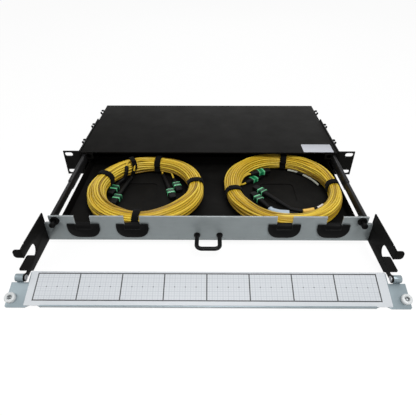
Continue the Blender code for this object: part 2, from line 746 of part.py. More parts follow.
def make_latch(side):
    """A bush through the face plate, the plunger that slides in it, and its keeper."""
    spot = (side * LATCH_X, 0, LATCH_RISE)
    bore = LATCH_PLUNGER_DIAMETER / 2 + FIT
    sleeve = LATCH_SLEEVE_DIAMETER / 2
    flange = LATCH_BUSH_DIAMETER / 2
    seat = FACE_FRONT - FIT
    front = seat - LATCH_BUSH_FLANGE
    rear = FACE_REAR + LATCH_SLEEVE_LENGTH
    profile = [
        (bore, front),
        (flange - 0.8, front),
        (flange, front + 0.8),
        (flange, seat),
        (sleeve, seat),
        (sleeve, rear - 1.5),
        (sleeve - 0.8, rear),
        (bore, rear),
    ]
    name = side_name(side)
    place(name + "_latch_bush", turned(profile, "Y", spot, 24), "plastic")

    radius = LATCH_PLUNGER_DIAMETER / 2
    tip = FACE_FRONT - LATCH_STAND_OUT
    head = LATCH_HEAD_DIAMETER / 2
    profile = [
        (0, tip),
        (head - 1.0, tip),
        (head, tip + 1.0),
        (head, tip + LATCH_HEAD_LENGTH),
        (radius, tip + LATCH_HEAD_LENGTH),
        (radius, rear - 2.0),
        (radius - 1.0, rear),
        (0, rear),
    ]
    plunger = turned(profile, "Y", (0, -FACE_FRONT, 0), 20)
    thing = place(name + "_latch_plunger", plunger, "plastic")
    thing.location = (spot[0] * MM, FACE_FRONT * MM, spot[2] * MM)

    half = KEEPER_WIDTH / 2
    outer = DRAWER_WEB - 2 * FIT
    inner = spot[0] * side - half
    under_lip = SIDE_TOP - CHASSIS_SHEET - FIT
    y = EAR_FRONT + KEEPER_SHEET / 2
    top = under_lip - KEEPER_SHEET / 2
    path = [(y, LATCH_RISE - KEEPER_DROP), (y, top), (y + KEEPER_FLANGE, top)]
    outline = bent_sheet(path, KEEPER_SHEET, 1.0)
    low, high = sorted((side * inner, side * outer))
    keeper = place(name + "_latch_keeper", prism(outline, "X", low, high), "chassis")
    hole = rod("Y", spot, sleeve + FIT, EAR_FRONT - 3, EAR_FRONT + 5, 24)
    cut(keeper, place(name + "_keeper_tool", hole, smooth=0))


def make_arm(side):
    """A folded side arm: slot, finger tab, lower paddle, hinge tail and fixing flange."""
    front = FACE_FRONT - ARM_FRONT
    paddle_front = FACE_FRONT - PADDLE_FRONT
    slot_rear = FACE_FRONT - ARM_SLOT_DEPTH
    nose = (HINGE_Y, HINGE_RISE)
    slot_low = ARM_SLOT_RISE - ARM_SLOT_RADIUS
    slot_high = ARM_SLOT_RISE + ARM_SLOT_RADIUS
    relief = paddle_front + 1.0
    tail_low = HINGE_RISE - HINGE_NOSE_RADIUS + 0.9
    outline = [(ARM_REAR - 0.2, ARM_BOTTOM + 0.4), (paddle_front + 0.3, ARM_BOTTOM + 0.4)]
    outline += [(paddle_front - 5.0, tail_low)]
    outline += arc(nose, HINGE_NOSE_RADIUS, -50, -300, 12)
    outline += [(front - 4.5, tail_low + TAIL_HEIGHT), (front + 3.0, slot_low - 1.0)]
    outline += arc((slot_rear, ARM_SLOT_RISE), ARM_SLOT_RADIUS, -90, 90, 10)
    outline += [(front + 0.7, slot_high), (front + 0.7, ARM_TOP - 0.6)]
    outline += [(relief, ARM_TOP), (relief, ARM_TOP - 2.0), (relief + 1.6, ARM_TOP - 2.0)]
    outline += [(relief + 1.6, ARM_TOP), (ARM_REAR - 0.2, ARM_TOP)]
    low, high = sorted((side * ARM_INNER, side * ARM_OUTER))
    name = side_name(side) + "_side_arm"
    arm = place(name, prism(outline, "X", low, high), "chassis")

    root = ARM_INNER + 0.3
    radius = FINGER_CORNER
    finger = rounded_box_outline(
        (root, FINGER_BOTTOM), (ARM_INNER + FINGER_REACH, FINGER_TOP), (0, radius, radius, 0), 4
    )
    solid = prism(turn_over(finger, side), "Y", front, front + ARM_SHEET)
    join(arm, place(name + "_finger_tool", solid, smooth=0))

    radius = PADDLE_CORNER
    paddle = rounded_box_outline(
        (root, paddle_front),
        (ARM_INNER + PADDLE_REACH, paddle_front + PADDLE_LENGTH),
        (0, radius, radius, 0),
        4,
    )
    solid = prism(turn_over(paddle, side), "Z", ARM_BOTTOM, ARM_BOTTOM + ARM_SHEET)
    join(arm, place(name + "_paddle_tool", solid, smooth=0))

    flange = rounded_box_outline(
        (ARM_INNER - ARM_FLANGE_WIDTH, FACE_BOTTOM + 0.8),
        (ARM_INNER + 0.6, FACE_BOTTOM + 0.8 + ARM_FLANGE_HEIGHT),
        (2.0, 0, 0, 2.0),
        3,
    )
    solid = prism(turn_over(flange, side), "Y", FACE_REAR + FIT, ARM_REAR)
    join(arm, place(name + "_flange_tool", solid, smooth=0))

    radius = HINGE_PIN_DIAMETER / 2 + HINGE_PIN_CLEARANCE
    low, high = sorted((side * (ARM_INNER - 3), side * (ARM_OUTER + 3)))
    hole = rod("X", (0, HINGE_Y, HINGE_RISE), radius, low, high, 20)
    cut(arm, place(name + "_pin_hole_tool", hole, smooth=0))


def make_hinge_pin(side):
    """A headed pin through the arm's tail, which carries the door's knuckle."""
    radius = HINGE_PIN_DIAMETER / 2
    head = HINGE_HEAD_DIAMETER / 2
    seat = ARM_INNER - FIT
    end = KNUCKLE_OUTER + 0.9
    profile = [
        (0, side * (seat - HINGE_HEAD_THICKNESS)),
        (head, side * (seat - HINGE_HEAD_THICKNESS)),
        (head, side * seat),
        (radius, side * seat),
        (radius, side * (end - 0.6)),
        (radius - 0.6, side * end),
        (0, side * end),
    ]
    place(side_name(side) + "_hinge_pin", turned(profile, "X", (0, HINGE_Y, HINGE_RISE), 20), "steel")


def door_pivot():
    """An empty on the door's axis. Its local -Y runs out along the open door."""
    pivot = bpy.data.objects.new("door_pivot", None)
    bpy.context.scene.collection.objects.link(pivot)
    pivot.location = (0, HINGE_Y * MM, HINGE_RISE * MM)
    pivot.rotation_euler = (math.radians(DOOR_DROOP), 0, 0)
    return pivot


def make_door(pivot):
    """The drop-down door: a plate with a lip, two ears, end reliefs and two knuckles."""
    edge = DOOR_EDGE
    inner = edge - DOOR_EAR_WIDTH
    lip = edge - DOOR_LIP_INSET
    relief = edge - DOOR_RELIEF_INSET
    reach = DOOR_RELIEF_WIDTH / 2
    depth = DOOR_RELIEF_DEPTH
    radius = (reach * reach + depth * depth) / (2 * depth)
    half_angle = math.degrees(math.asin(reach / radius))
    outer_face = -DOOR_OFFSET - DOOR_SHEET
    inner_face = -DOOR_OFFSET

    right = [
        (relief - reach, -DOOR_FRONT + 1.0),
        *arc(
            (relief, -DOOR_FRONT - radius + depth),
            radius,
            90 + half_angle,
            90 - half_angle,
            8,
        ),
        (edge - 1.5, -DOOR_FRONT),
        (edge, -DOOR_FRONT + 1.5),
        (edge, -DOOR_EAR_BACK),
        (inner, -DOOR_EAR_BACK),
        (inner, DOOR_BACK - 1.5),
        (inner - 1.5, DOOR_BACK),
    ]
    left = [(-x, y) for x, y in reversed(right)]
    outline = right + left
    door = place("door_panel", prism(outline, "Z", outer_face, inner_face), "door")
    door.parent = pivot

    fold = DOOR_SHEET / 2
    path = [
        (-DOOR_FRONT + 5.0, outer_face + fold),
        (-DOOR_FRONT + fold, outer_face + fold),
        (-DOOR_FRONT + fold, inner_face + DOOR_LIP_HEIGHT),
    ]
    strip = prism(bent_sheet(path, DOOR_SHEET - 0.02, 1.0), "X", -lip, lip)
    join(door, place("door_lip_tool", strip, smooth=0))

    for side in (-1, 1):
        low, high = sorted((side * KNUCKLE_INNER, side * KNUCKLE_OUTER))
        knuckle = rod("X", (0, 0, 0), KNUCKLE_DIAMETER / 2, low, high, 28)
        join(door, place(side_name(side) + "_knuckle_tool", knuckle, smooth=0))
        low, high = sorted((side * (KNUCKLE_INNER + 1), side * (KNUCKLE_OUTER - 0.5)))
        web = box((low, -DOOR_EAR_BACK - 2, outer_face + 0.05), (high, 0, inner_face - 0.05))
        join(door, place(side_name(side) + "_knuckle_web_tool", web, smooth=0))
        low, high = sorted((side * (KNUCKLE_INNER - 4), side * (KNUCKLE_OUTER + 4)))
        bore = rod("X", (0, 0, 0), HINGE_PIN_DIAMETER / 2 + HINGE_PIN_CLEARANCE, low, high, 20)
        cut(door, place(side_name(side) + "_knuckle_bore_tool", bore, smooth=0))


def make_door_fittings(pivot):
    """The write-on card inside the door and the two white bumpers on its ears."""
    half = DOOR_EDGE - CARD_INSET
    low = (-half, -CARD_FRONT)
    high = (half, CARD_BACK)
    bottom = -DOOR_OFFSET + FIT
    shape = prism(rounded_box_outline(low, high, (1, 1, 1, 1), 2), "Z", bottom, bottom + CARD_SHEET)
    card = place("label_card", shape, "card")
    card.parent = pivot
    for side in (-1, 1):
        outer = BUMPER_DIAMETER / 2
        stud = BUMPER_STUD_DIAMETER / 2
        top = bottom + BUMPER_HEIGHT
        profile = [
            (0, bottom),
            (outer, bottom),
            (outer, top - 1.0),
            (outer - 1.0, top),
            (stud + 0.6, top),
            (stud + 0.6, top - 0.8),
            (stud, top - 0.8),
            (stud, top + BUMPER_STUD_HEIGHT - 0.8),
            (0, top + BUMPER_STUD_HEIGHT - 0.8),
        ]
        spot = (side * (DOOR_EDGE - BUMPER_INSET), -BUMPER_FORWARD, 0)
        bumper = place(side_name(side) + "_door_bumper", turned(profile, "Z", spot, 24), "nylon")
        bumper.parent = pivot


@dataclass(frozen=True)
class Coil:
    """One coil, lying flat. Angles run round it in degrees, from its right side.

    The turns' middle line is an oval in plan, and their section is a fat oval that is
    wider on the left by the lean, taller at the rear by the rise, and swells between straps.
    """

    centre: tuple
    across: float
    along: float
    turn: float
    width: float
    height: float
    lean: float
    rise: float
    straps: tuple

    def swell(self, angle):
        """How free the turns are to spread: 0 at a strap, and nearly 1 far from one."""
        half = FULL_TURN / 2
        away = min(abs((angle - strap + half) % FULL_TURN - half) for strap in self.straps)
        free = max(0.0, away - COIL_HELD_ANGLE)
        return 1 - math.exp(-((free / COIL_SWELL_ANGLE) ** 2))

    def half_width(self, angle):
        lean = 1 - self.lean * math.cos(math.radians(angle))
        return self.width / 2 * lean * (1 + COIL_SWELL_WIDTH * self.swell(angle))

    def half_height(self, angle):
        rise = 1 + self.rise * math.sin(math.radians(angle))
        return self.height / 2 * rise * (1 + COIL_SWELL_HEIGHT * self.swell(angle))

    def section(self, angle, grow_width=0.0, grow_height=0.0):
        """The section as a loop of (distance out from the middle line, height)."""
        middle = COIL_BOTTOM + self.half_height(angle)
        points = []
        for i in range(COIL_SECTION_POINTS):
            turn = 2 * math.pi * i / COIL_SECTION_POINTS
            c = math.cos(turn)
            s = math.sin(turn)
            power = 2 / COIL_SQUARENESS
            out = math.copysign(abs(c) ** power, c) * (self.half_width(angle) + grow_width)
            up = math.copysign(abs(s) ** power, s) * (self.half_height(angle) + grow_height)
            points.append((out, middle + up))
        return points

    def outward(self, angle):
        """The level direction square to the middle line."""
        c = math.cos(math.radians(angle)) / self.across
        s = math.sin(math.radians(angle)) / self.along
        way = Vector((c, s, 0)).normalized()
        return Matrix.Rotation(math.radians(self.turn), 3, "Z") @ way

    def spot(self, angle, out, height=0.0):
        """A place at an angle, so far out from the middle line."""
        c = math.cos(math.radians(angle)) * self.across / 2
        s = math.sin(math.radians(angle)) * self.along / 2
        place_on_line = Matrix.Rotation(math.radians(self.turn), 3, "Z") @ Vector((c, s, 0))
        return Vector((*self.centre, height)) + place_on_line + self.outward(angle) * out

    def inside(self, angle, inset):
        """A place in plan inside the coil, so far in from its inner side."""
        spot = self.spot(angle, -self.half_width(angle) - inset)
        return (spot.x, spot.y)


LEFT_COIL = Coil(
    (LEFT_COIL_INSET - TRAY_OUTER, -LEFT_COIL_BACK),
    LEFT_COIL_ACROSS,
    LEFT_COIL_ALONG,
    LEFT_COIL_TURN,
    LEFT_COIL_WIDTH,
    LEFT_COIL_HEIGHT,
    LEFT_COIL_LEAN,
    LEFT_COIL_RISE,
    LEFT_STRAP_ANGLES,
)
RIGHT_COIL = Coil(
    (TRAY_OUTER - RIGHT_COIL_INSET, -RIGHT_COIL_BACK),
    RIGHT_COIL_ACROSS,
    RIGHT_COIL_ALONG,
    RIGHT_COIL_TURN,
    RIGHT_COIL_WIDTH,
    RIGHT_COIL_HEIGHT,
    RIGHT_COIL_LEAN,
    RIGHT_COIL_RISE,
    RIGHT_STRAP_ANGLES,
)


def join_rings(shape, first, second):
    """Faces between two loops of corners."""
    for i in range(len(first)):
        j = (i + 1) % len(first)
        shape.faces.new((first[i], first[j], second[j], second[i]))


def make_coil(name, coil):
    """One coil of cable, as the closed outer shape of its turns."""
    shape = bmesh.new()
    rings = []
    for k in range(COIL_STEPS):
        angle = FULL_TURN * k / COIL_STEPS
        rings.append([shape.verts.new(coil.spot(angle, out, up)) for out, up in coil.section(angle)])
    for k in range(COIL_STEPS):
        join_rings(shape, rings[k], rings[(k + 1) % COIL_STEPS])
    place(name, shape, "cable")


def make_strap(name, coil, angle):
    """A band round the coil's section, standing across the turns."""
    ahead = coil.outward(angle).cross(Vector((0, 0, 1))) * (STRAP_WIDTH / 2)
    inner = coil.section(angle, STRAP_FIT, FIT)
    outer = coil.section(angle, STRAP_FIT + STRAP_SHEET, FIT + STRAP_SHEET)
    shape = bmesh.new()
    loops = []
    for profile, side in ((inner, -1), (inner, 1), (outer, 1), (outer, -1)):
        loops.append(
            [shape.verts.new(coil.spot(angle, out, up) + ahead * side) for out, up in profile]
        )
    for k in range(len(loops)):
        join_rings(shape, loops[k], loops[(k + 1) % len(loops)])
    place(name, shape, "strap")


def from_right_coil(x, y):
    """A place measured from the right coil's middle."""
    return (RIGHT_COIL.centre[0] + x, RIGHT_COIL.centre[1] + y)


def make_connector(name, start, heading, boot_length, lift=0.0):
    """A push-on connector from its cable boot to its dust cap, lying along a heading."""
    rear = BOOT_REAR_DIAMETER / 2
    front = BOOT_FRONT_DIAMETER / 2
    end = boot_length + 1
    profile = [(0, 0), (rear, 0), (front, boot_length - BOOT_COLLAR), (front, end), (0, end)]
    boot = turned(profile, "X", (0, 0, 0), 14)
    connector = place(name, boot, "connector")
    half = HOUSING_WIDTH / 2
    high = HOUSING_HEIGHT / 2
    housing = prism(
        rounded_box_outline((-half, -high), (half, high), (1, 1, 1, 1), 2),
        "X",
        boot_length,
        boot_length + HOUSING_LENGTH,
    )
    tool = place(name + "_housing_tool", housing, smooth=0)
    join(connector, tool)
    half = CAP_WIDTH / 2
    high = CAP_HEIGHT / 2
    cap = prism(
        rounded_box_outline((-half, -high), (half, high), (1.5, 1.5, 1.5, 1.5), 3),
        "X",
        boot_length + HOUSING_LENGTH - 1,
        boot_length + HOUSING_LENGTH + CAP_LENGTH,
    )
    cap_tool = place(name + "_cap_tool", cap, smooth=0)
    join(connector, cap_tool)
    height = TRAY_FLOOR + FIT + HOUSING_HEIGHT / 2 + lift
    for thing in (connector, tool, cap_tool):
        thing.location = (start[0] * MM, start[1] * MM, height * MM)
        thing.rotation_euler = (0, 0, math.radians(heading))
    return height


def make_tail(name, points, radius, kind):
    """A short free length of cable, or a sleeve on it, along a few chosen points."""
    curve = bpy.data.curves.new(name, "CURVE")
    curve.dimensions = "3D"
    curve.bevel_depth = radius * MM
    curve.bevel_resolution = 2
    curve.use_fill_caps = True
    line = curve.splines.new("POLY")
    line.points.add(len(points) - 1)
    for spot, point in zip(line.points, points):
        spot.co = (*(c * MM for c in point), 1.0)
    curve.materials.append(own_finish(name, kind))
    tail = bpy.data.objects.new(name, curve)
    bpy.context.scene.collection.objects.link(tail)


def behind(start, heading, distance):
    """A place straight behind a connector that lies along a heading."""
    turn = math.radians(heading)
    return (start[0] - distance * math.cos(turn), start[1] - distance * math.sin(turn))


def level_route(points, step, height):
    """A smooth route at one height through places in plan."""
    return smooth_route([(x, y, height) for x, y in points], step)


def smooth_route(points, step):
    """Even points along a smooth curve through the route's own points."""
    padded = [points[0]] + list(points) + [points[-1]]
    route = []
    for k in range(1, len(padded) - 2):
        a, b, c, d = (Vector(p) for p in padded[k - 1:k + 3])
        count = max(2, round((c - b).length / step))
        for i in range(count):
            t = i / count
            spot = 0.5 * (
                2 * b + (c - a) * t + (2 * a - 5 * b + 4 * c - d) * t * t + (3 * b - a - 3 * c + d) * t ** 3
            )
            route.append(tuple(spot))
    route.append(tuple(points[-1]))
    return route


# Each connector: name, coil, angle of its boot on the coil's inner side, heading, boot length, lift
CONNECTORS = (
    ("connector_left_1", LEFT_COIL, 143.0, -104.0, 12.0, 0.0),
    ("connector_left_2", LEFT_COIL, 126.0, -102.0, 52.0, 0.0),
    ("connector_left_3", LEFT_COIL, 49.0, -72.0, 14.0, 0.0),
    ("connector_left_4", LEFT_COIL, 72.0, -72.0, 49.0, 0.0),
    ("connector_right_1", RIGHT_COIL, 132.0, 20.0, 12.0, HOUSING_HEIGHT + FIT),
    ("connector_right_2", RIGHT_COIL, 148.0, 40.0, 12.0, 0.0),
)


def make_cables():
    """Both coils, their straps, the connectors and the two free tails."""
    for side, coil in (("left", LEFT_COIL), ("right", RIGHT_COIL)):
        make_coil("coil_" + side, coil)
        for number, angle in enumerate(coil.straps, 1):
            make_strap("strap_" + side + "_" + str(number), coil, angle)
    for name, coil, angle, heading, boot, lift in CONNECTORS:
        start = coil.inside(angle, BOOT_REAR_DIAMETER / 2 + 1.2)
        make_connector(name, start, heading, boot, lift)

    start = from_right_coil(1.6, -35.8)
    heading = 129.0
    height = make_connector("connector_right_3", start, heading, 46.0)
    end = RIGHT_COIL.inside(-38.0, CABLE_DIAMETER / 2 + 0.4)
    bend = behind(start, heading, 7.0)
    route = [behind(start, heading, SEATED), bend, from_right_coil(22.0, -43.5), end]
    make_tail("tail_right_1", level_route(route, 7.0, height), CABLE_DIAMETER / 2, "cable")

    start = from_right_coil(-24.5, -40.3)
    heading = 119.0
    height = make_connector("connector_right_4", start, heading, 23.0)
    level = [from_right_coil(-12.0, -49.8), from_right_coil(2.3, -51.5)]
    sleeve = [behind(start, heading, SEATED), behind(start, heading, 5.5), *level]
    rise = TRAY_FLOOR + FIT + SLEEVE_DIAMETER / 2
    make_tail("label_sleeve", level_route(sleeve, 4.0, rise), SLEEVE_DIAMETER / 2, "nylon")
    end = RIGHT_COIL.inside(-60.0, CABLE_DIAMETER / 2 + 0.4)
    route = [from_right_coil(2.8, -51.6), from_right_coil(17.0, -52.6), end]
    make_tail("tail_right_2", level_route(route, 7.0, height), CABLE_DIAMETER / 2, "cable")


def main():
    clear_scene()
    make_chassis()
    for side in (-1, 1):
        make_ear(side)
        for number in range(HOOK_COUNT):
            make_hook(side, number)
        make_cabinet_rail(side)
        make_middle_rail(side)
        make_drawer_rail(side)
        make_latch(side)
        make_arm(side)
        make_hinge_pin(side)
    make_tray()
    make_face_plate()
    for number, x in enumerate(port_centres(), 1):
        make_port_insert(number, x)
    make_handle()
    make_cables()
    pivot = door_pivot()
    make_door(pivot)
    make_door_fittings(pivot)


main()
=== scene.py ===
"""Looks of a sliding fibre patch shelf, drawn out with its door open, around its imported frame.

The sheet-metal pieces keep their solids and get softened edges and coats. The cable coils,
straps, connectors, sleeves, handle, label and screws are new pieces, worked out as
surfaces of two parameters. Shapes are worked out in millimetres in the frame's axes
(X right, Y to the rear, Z up) and are written to the meshes in metres.
"""

import logging
import math
from dataclasses import dataclass, field
from enum import Enum
from typing import Any, Callable, ClassVar

import bpy
import numpy as np
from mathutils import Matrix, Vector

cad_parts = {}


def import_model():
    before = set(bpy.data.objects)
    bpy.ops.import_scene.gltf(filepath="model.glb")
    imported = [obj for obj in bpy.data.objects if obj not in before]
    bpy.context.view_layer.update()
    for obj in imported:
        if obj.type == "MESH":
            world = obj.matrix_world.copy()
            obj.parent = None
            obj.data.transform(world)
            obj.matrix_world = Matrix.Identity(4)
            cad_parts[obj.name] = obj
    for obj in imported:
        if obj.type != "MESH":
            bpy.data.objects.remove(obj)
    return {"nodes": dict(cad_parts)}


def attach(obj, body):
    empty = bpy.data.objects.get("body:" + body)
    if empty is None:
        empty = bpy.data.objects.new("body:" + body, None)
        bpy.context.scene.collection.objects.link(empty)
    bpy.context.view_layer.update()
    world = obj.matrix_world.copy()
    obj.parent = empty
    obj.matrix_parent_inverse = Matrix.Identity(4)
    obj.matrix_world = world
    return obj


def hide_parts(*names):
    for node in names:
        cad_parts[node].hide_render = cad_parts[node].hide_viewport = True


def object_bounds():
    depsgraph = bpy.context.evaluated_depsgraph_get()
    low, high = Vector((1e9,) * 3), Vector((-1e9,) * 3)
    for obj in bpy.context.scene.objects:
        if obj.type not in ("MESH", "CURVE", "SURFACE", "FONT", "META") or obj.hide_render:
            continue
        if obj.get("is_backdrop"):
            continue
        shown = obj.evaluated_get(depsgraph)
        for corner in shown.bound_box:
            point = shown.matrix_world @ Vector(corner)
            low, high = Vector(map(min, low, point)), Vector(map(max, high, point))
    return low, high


MM = 0.001
Array = np.ndarray
Colour = tuple[float, float, float]
log = logging.getLogger("patch_shelf")

# The door's hinge line in Y and Z, and how far in degrees the open door hangs below level
HINGE_LINE = (-249.9, 8.75)
DOOR_DROOP = 20.5

# Angles round a coil at which a turn's place in the section is worked out
STATIONS = 72


class Body(Enum):
    """The moving groups that pieces ride on."""

    CHASSIS = "chassis"
    DRAWER = "drawer"
    DOOR = "door"
    LEFT_PLUNGER = "left_plunger"
    RIGHT_PLUNGER = "right_plunger"


class Side(Enum):
    """The two sides, with the sign of X."""

    LEFT = -1
    RIGHT = 1


class Axis(Enum):
    """Directions that a turned piece can stand along, with its two cross directions."""

    X = ((1, 0, 0), (0, 1, 0), (0, 0, 1))
    Y = ((0, 1, 0), (0, 0, 1), (1, 0, 0))
    Z = ((0, 0, 1), (1, 0, 0), (0, 1, 0))


# Shader nodes


class Graph:
    """A short way to add and join nodes in one shader tree."""

    def __init__(self, tree: bpy.types.NodeTree) -> None:
        """Keep the tree that nodes go into.

        Args:
            tree: the material's or the group's node tree.
        """
        self.tree = tree

    def node(self, kind: str, inputs: dict[Any, Any] | None = None, **settings: Any) -> bpy.types.Node:
        """Add a node.

        Args:
            kind: the node's type name.
            inputs: values or output sockets for its inputs, by name or number.
            settings: attributes of the node.

        Returns:
            The new node.
        """
        made = self.tree.nodes.new(kind)
        for name, value in settings.items():
            setattr(made, name, value)
        for key, value in (inputs or {}).items():
            if isinstance(value, bpy.types.NodeSocket):
                self.tree.links.new(value, made.inputs[key])
            else:
                made.inputs[key].default_value = value
        return made

    def sum(self, operation: str, *values: Any) -> bpy.types.NodeSocket:
        """Work out one number from others with a Math node.

        Args:
            operation: the Math node's operation.
            values: numbers or sockets.

        Returns:
            The result's socket.
        """
        return self.node("ShaderNodeMath", dict(enumerate(values)), operation=operation).outputs[0]

    def spread(self, value: Any, low: float, high: float, to_low: float = 0.0, to_high: float = 1.0) -> Any:
        """Map a range of a value onto another, clamped at both ends.

        Args:
            value: the socket to map.
            low: start of the range.
            high: end of the range.
            to_low: what the start becomes.
            to_high: what the end becomes.

        Returns:
            The result's socket.
        """
        inputs = {"Value": value, "From Min": low, "From Max": high, "To Min": to_low, "To Max": to_high}
        return self.node("ShaderNodeMapRange", inputs).outputs["Result"]

    def blend(self, share: Any, first: Any, second: Any) -> bpy.types.NodeSocket:
        """Mix two colours.

        Args:
            share: how much of the second, from 0 to 1.
            first: colour or socket.
            second: colour or socket.

        Returns:
            The mixed colour's socket.
        """
        first, second = (c if isinstance(c, bpy.types.NodeSocket) else (*c, 1.0) for c in (first, second))
        return self.node("ShaderNodeMix", {0: share, 6: first, 7: second}, data_type="RGBA").outputs[2]

    def noise(self, vector: Any, scale: Any, detail: float = 3.0, roughness: float = 0.55) -> Any:
        """Add a noise texture.

        Args:
            vector: coordinates.
            scale: its scale, a number or socket.
            detail: octaves.
            roughness: strength of the fine octaves.

        Returns:
            The noise's value socket.
        """
        inputs = {"Vector": vector, "Scale": scale, "Detail": detail, "Roughness": roughness}
        return self.node("ShaderNodeTexNoise", inputs).outputs[0]

    def group(self, made: bpy.types.NodeTree, **inputs: Any) -> bpy.types.Node:
        """Place a shared effect.

        Args:
            made: the effect's node group.
            inputs: values or sockets by input name.

        Returns:
            The group's node.
        """
        return self.node("ShaderNodeGroup", inputs, node_tree=made)

    def straight_view(self) -> Any:
        """Tell the rays that show a surface from those that carry light off it.

        Returns:
            A socket with 1 for rays from the camera, off gloss and through clear faces, or else 0.
        """
        light = self.node("ShaderNodeLightPath").outputs
        seen = self.sum("MAXIMUM", light["Is Camera Ray"], light["Is Glossy Ray"])
        return self.sum("MAXIMUM", seen, light["Is Transmission Ray"])


class Effects:
    """The shader node groups that several finishes share, each built once."""

    dust_colour: Colour = (0.30, 0.29, 0.27)

    def __init__(self) -> None:
        """Build every group."""
        self.grain = self.make("coat_grain", "Vector Scale Depth", "Height Mottle", self.fill_grain)
        self.dust = self.make("settled_dust", "Vector Colour Amount", "Colour Mask", self.fill_dust)
        self.scuff = self.make("handling_scuffs", "Vector Scale Amount", "Mask", self.fill_scuff)
        self.brush = self.make("brushed_lines", "Vector Scale", "Height Streak", self.fill_brush)
        self.weave = self.make("loop_weave", "Vector Pitch", "Height Fibre", self.fill_weave)
        self.ruling = self.make("ruled_line", "Place Pitch Width", "Line", self.fill_ruling)

    @staticmethod
    def make(name: str, takes: str, gives: str, fill: Callable) -> bpy.types.NodeTree:
        """Make one group with its named sockets.

        Args:
            name: the group's name.
            takes: names of its inputs, with spaces between them.
            gives: names of its outputs, in the same way.
            fill: function that adds the nodes, from graph and inputs to a dict of outputs.

        Returns:
            The node group.
        """
        kinds = {"Vector": "NodeSocketVector", "Colour": "NodeSocketColor"}
        made = bpy.data.node_groups.new(name, "ShaderNodeTree")
        for way, names in (("INPUT", takes), ("OUTPUT", gives)):
            for socket in names.split():
                kind = kinds.get(socket, "NodeSocketFloat")
                made.interface.new_socket(socket, in_out=way, socket_type=kind)
        graph = Graph(made)
        start = graph.node("NodeGroupInput")
        graph.node("NodeGroupOutput", fill(graph, {s: start.outputs[s] for s in takes.split()}))
        return made

    @staticmethod
    def fill_grain(graph: Graph, given: dict[str, Any]) -> dict[str, Any]:
        """Orange peel of a coat: fine noise for height, broad noise for a slight mottle.

        Args:
            graph: the group's graph.
            given: its input sockets by name.

        Returns:
            The output sockets by name.
        """
        fine = graph.noise(given["Vector"], given["Scale"], 2.0)
        broad = graph.noise(given["Vector"], graph.sum("MULTIPLY", given["Scale"], 0.02), 3.0)
        height = graph.sum("MULTIPLY", fine, given["Depth"])
        return {"Height": height, "Mottle": graph.spread(broad, 0.3, 0.7)}

    @staticmethod
    def fill_dust(graph: Graph, given: dict[str, Any]) -> dict[str, Any]:
        """Pale dust that lies in patches on faces that look up.

        Args:
            graph: the group's graph.
            given: its input sockets by name.

        Returns:
            The output sockets by name.
        """
        normal = graph.node("ShaderNodeTexCoord").outputs["Normal"]
        up = graph.node("ShaderNodeSeparateXYZ", {0: normal}).outputs["Z"]
        patches = graph.spread(graph.noise(given["Vector"], 22.0, 5.0, 0.65), 0.42, 0.75)
        specks = graph.spread(graph.noise(given["Vector"], 1400.0, 1.0), 0.62, 0.72, 0.0, 0.6)
        lying = graph.sum("MULTIPLY", graph.spread(up, 0.3, 0.95), graph.sum("ADD", patches, specks))
        mask = graph.sum("MULTIPLY", lying, given["Amount"])
        return {"Colour": graph.blend(mask, given["Colour"], Effects.dust_colour), "Mask": mask}

    @staticmethod
    def fill_scuff(graph: Graph, given: dict[str, Any]) -> dict[str, Any]:
        """Thin short rubs: stretched noise, kept where a broad noise is high.

        Args:
            graph: the group's graph.
            given: its input sockets by name.

        Returns:
            The output sockets by name.
        """
        turned = graph.node("ShaderNodeMapping", {"Vector": given["Vector"], "Scale": (1.0, 9.0, 4.0)})
        turned.inputs["Rotation"].default_value = (0.3, 0.2, 0.55)
        lines = graph.noise(turned.outputs[0], given["Scale"], 3.0, 0.7)
        where = graph.spread(graph.noise(given["Vector"], 14.0, 2.0), 0.45, 0.7)
        mask = graph.sum("MULTIPLY", graph.spread(lines, 0.6, 0.75), where)
        return {"Mask": graph.sum("MULTIPLY", mask, given["Amount"])}

    @staticmethod
    def fill_brush(graph: Graph, given: dict[str, Any]) -> dict[str, Any]:
        """Long fine lines along Y, from noise squeezed along that way.

        Args:
            graph: the group's graph.
            given: its input sockets by name.

        Returns:
            The output sockets by name.
        """
        drawn = graph.node("ShaderNodeMapping", {"Vector": given["Vector"], "Scale": (1.0, 0.02, 1.0)})
        lines = graph.noise(drawn.outputs[0], given["Scale"], 4.0, 0.7)
        return {"Height": lines, "Streak": graph.spread(lines, 0.35, 0.65)}

    @staticmethod
    def fill_weave(graph: Graph, given: dict[str, Any]) -> dict[str, Any]:
        """Tape of tiny loops: small cells for the loops over fine crossed ribs.

        Args:
            graph: the group's graph.
            given: its input sockets by name.

        Returns:
            The output sockets by name.
        """
        fine = graph.sum("DIVIDE", 1.0, given["Pitch"])
        cells = graph.node("ShaderNodeTexVoronoi", {"Vector": given["Vector"], "Scale": fine})
        coarse = graph.sum("MULTIPLY", fine, 0.2)
        ribs = graph.node("ShaderNodeTexWave", {"Vector": given["Vector"], "Scale": coarse})
        fibre = graph.noise(given["Vector"], graph.sum("MULTIPLY", fine, 2.0), 3.0, 0.8)
        height = graph.sum("ADD", cells.outputs["Distance"], graph.sum("MULTIPLY", ribs.outputs[1], 0.4))
        return {"Height": graph.sum("ADD", height, fibre), "Fibre": graph.spread(fibre, 0.35, 0.7)}

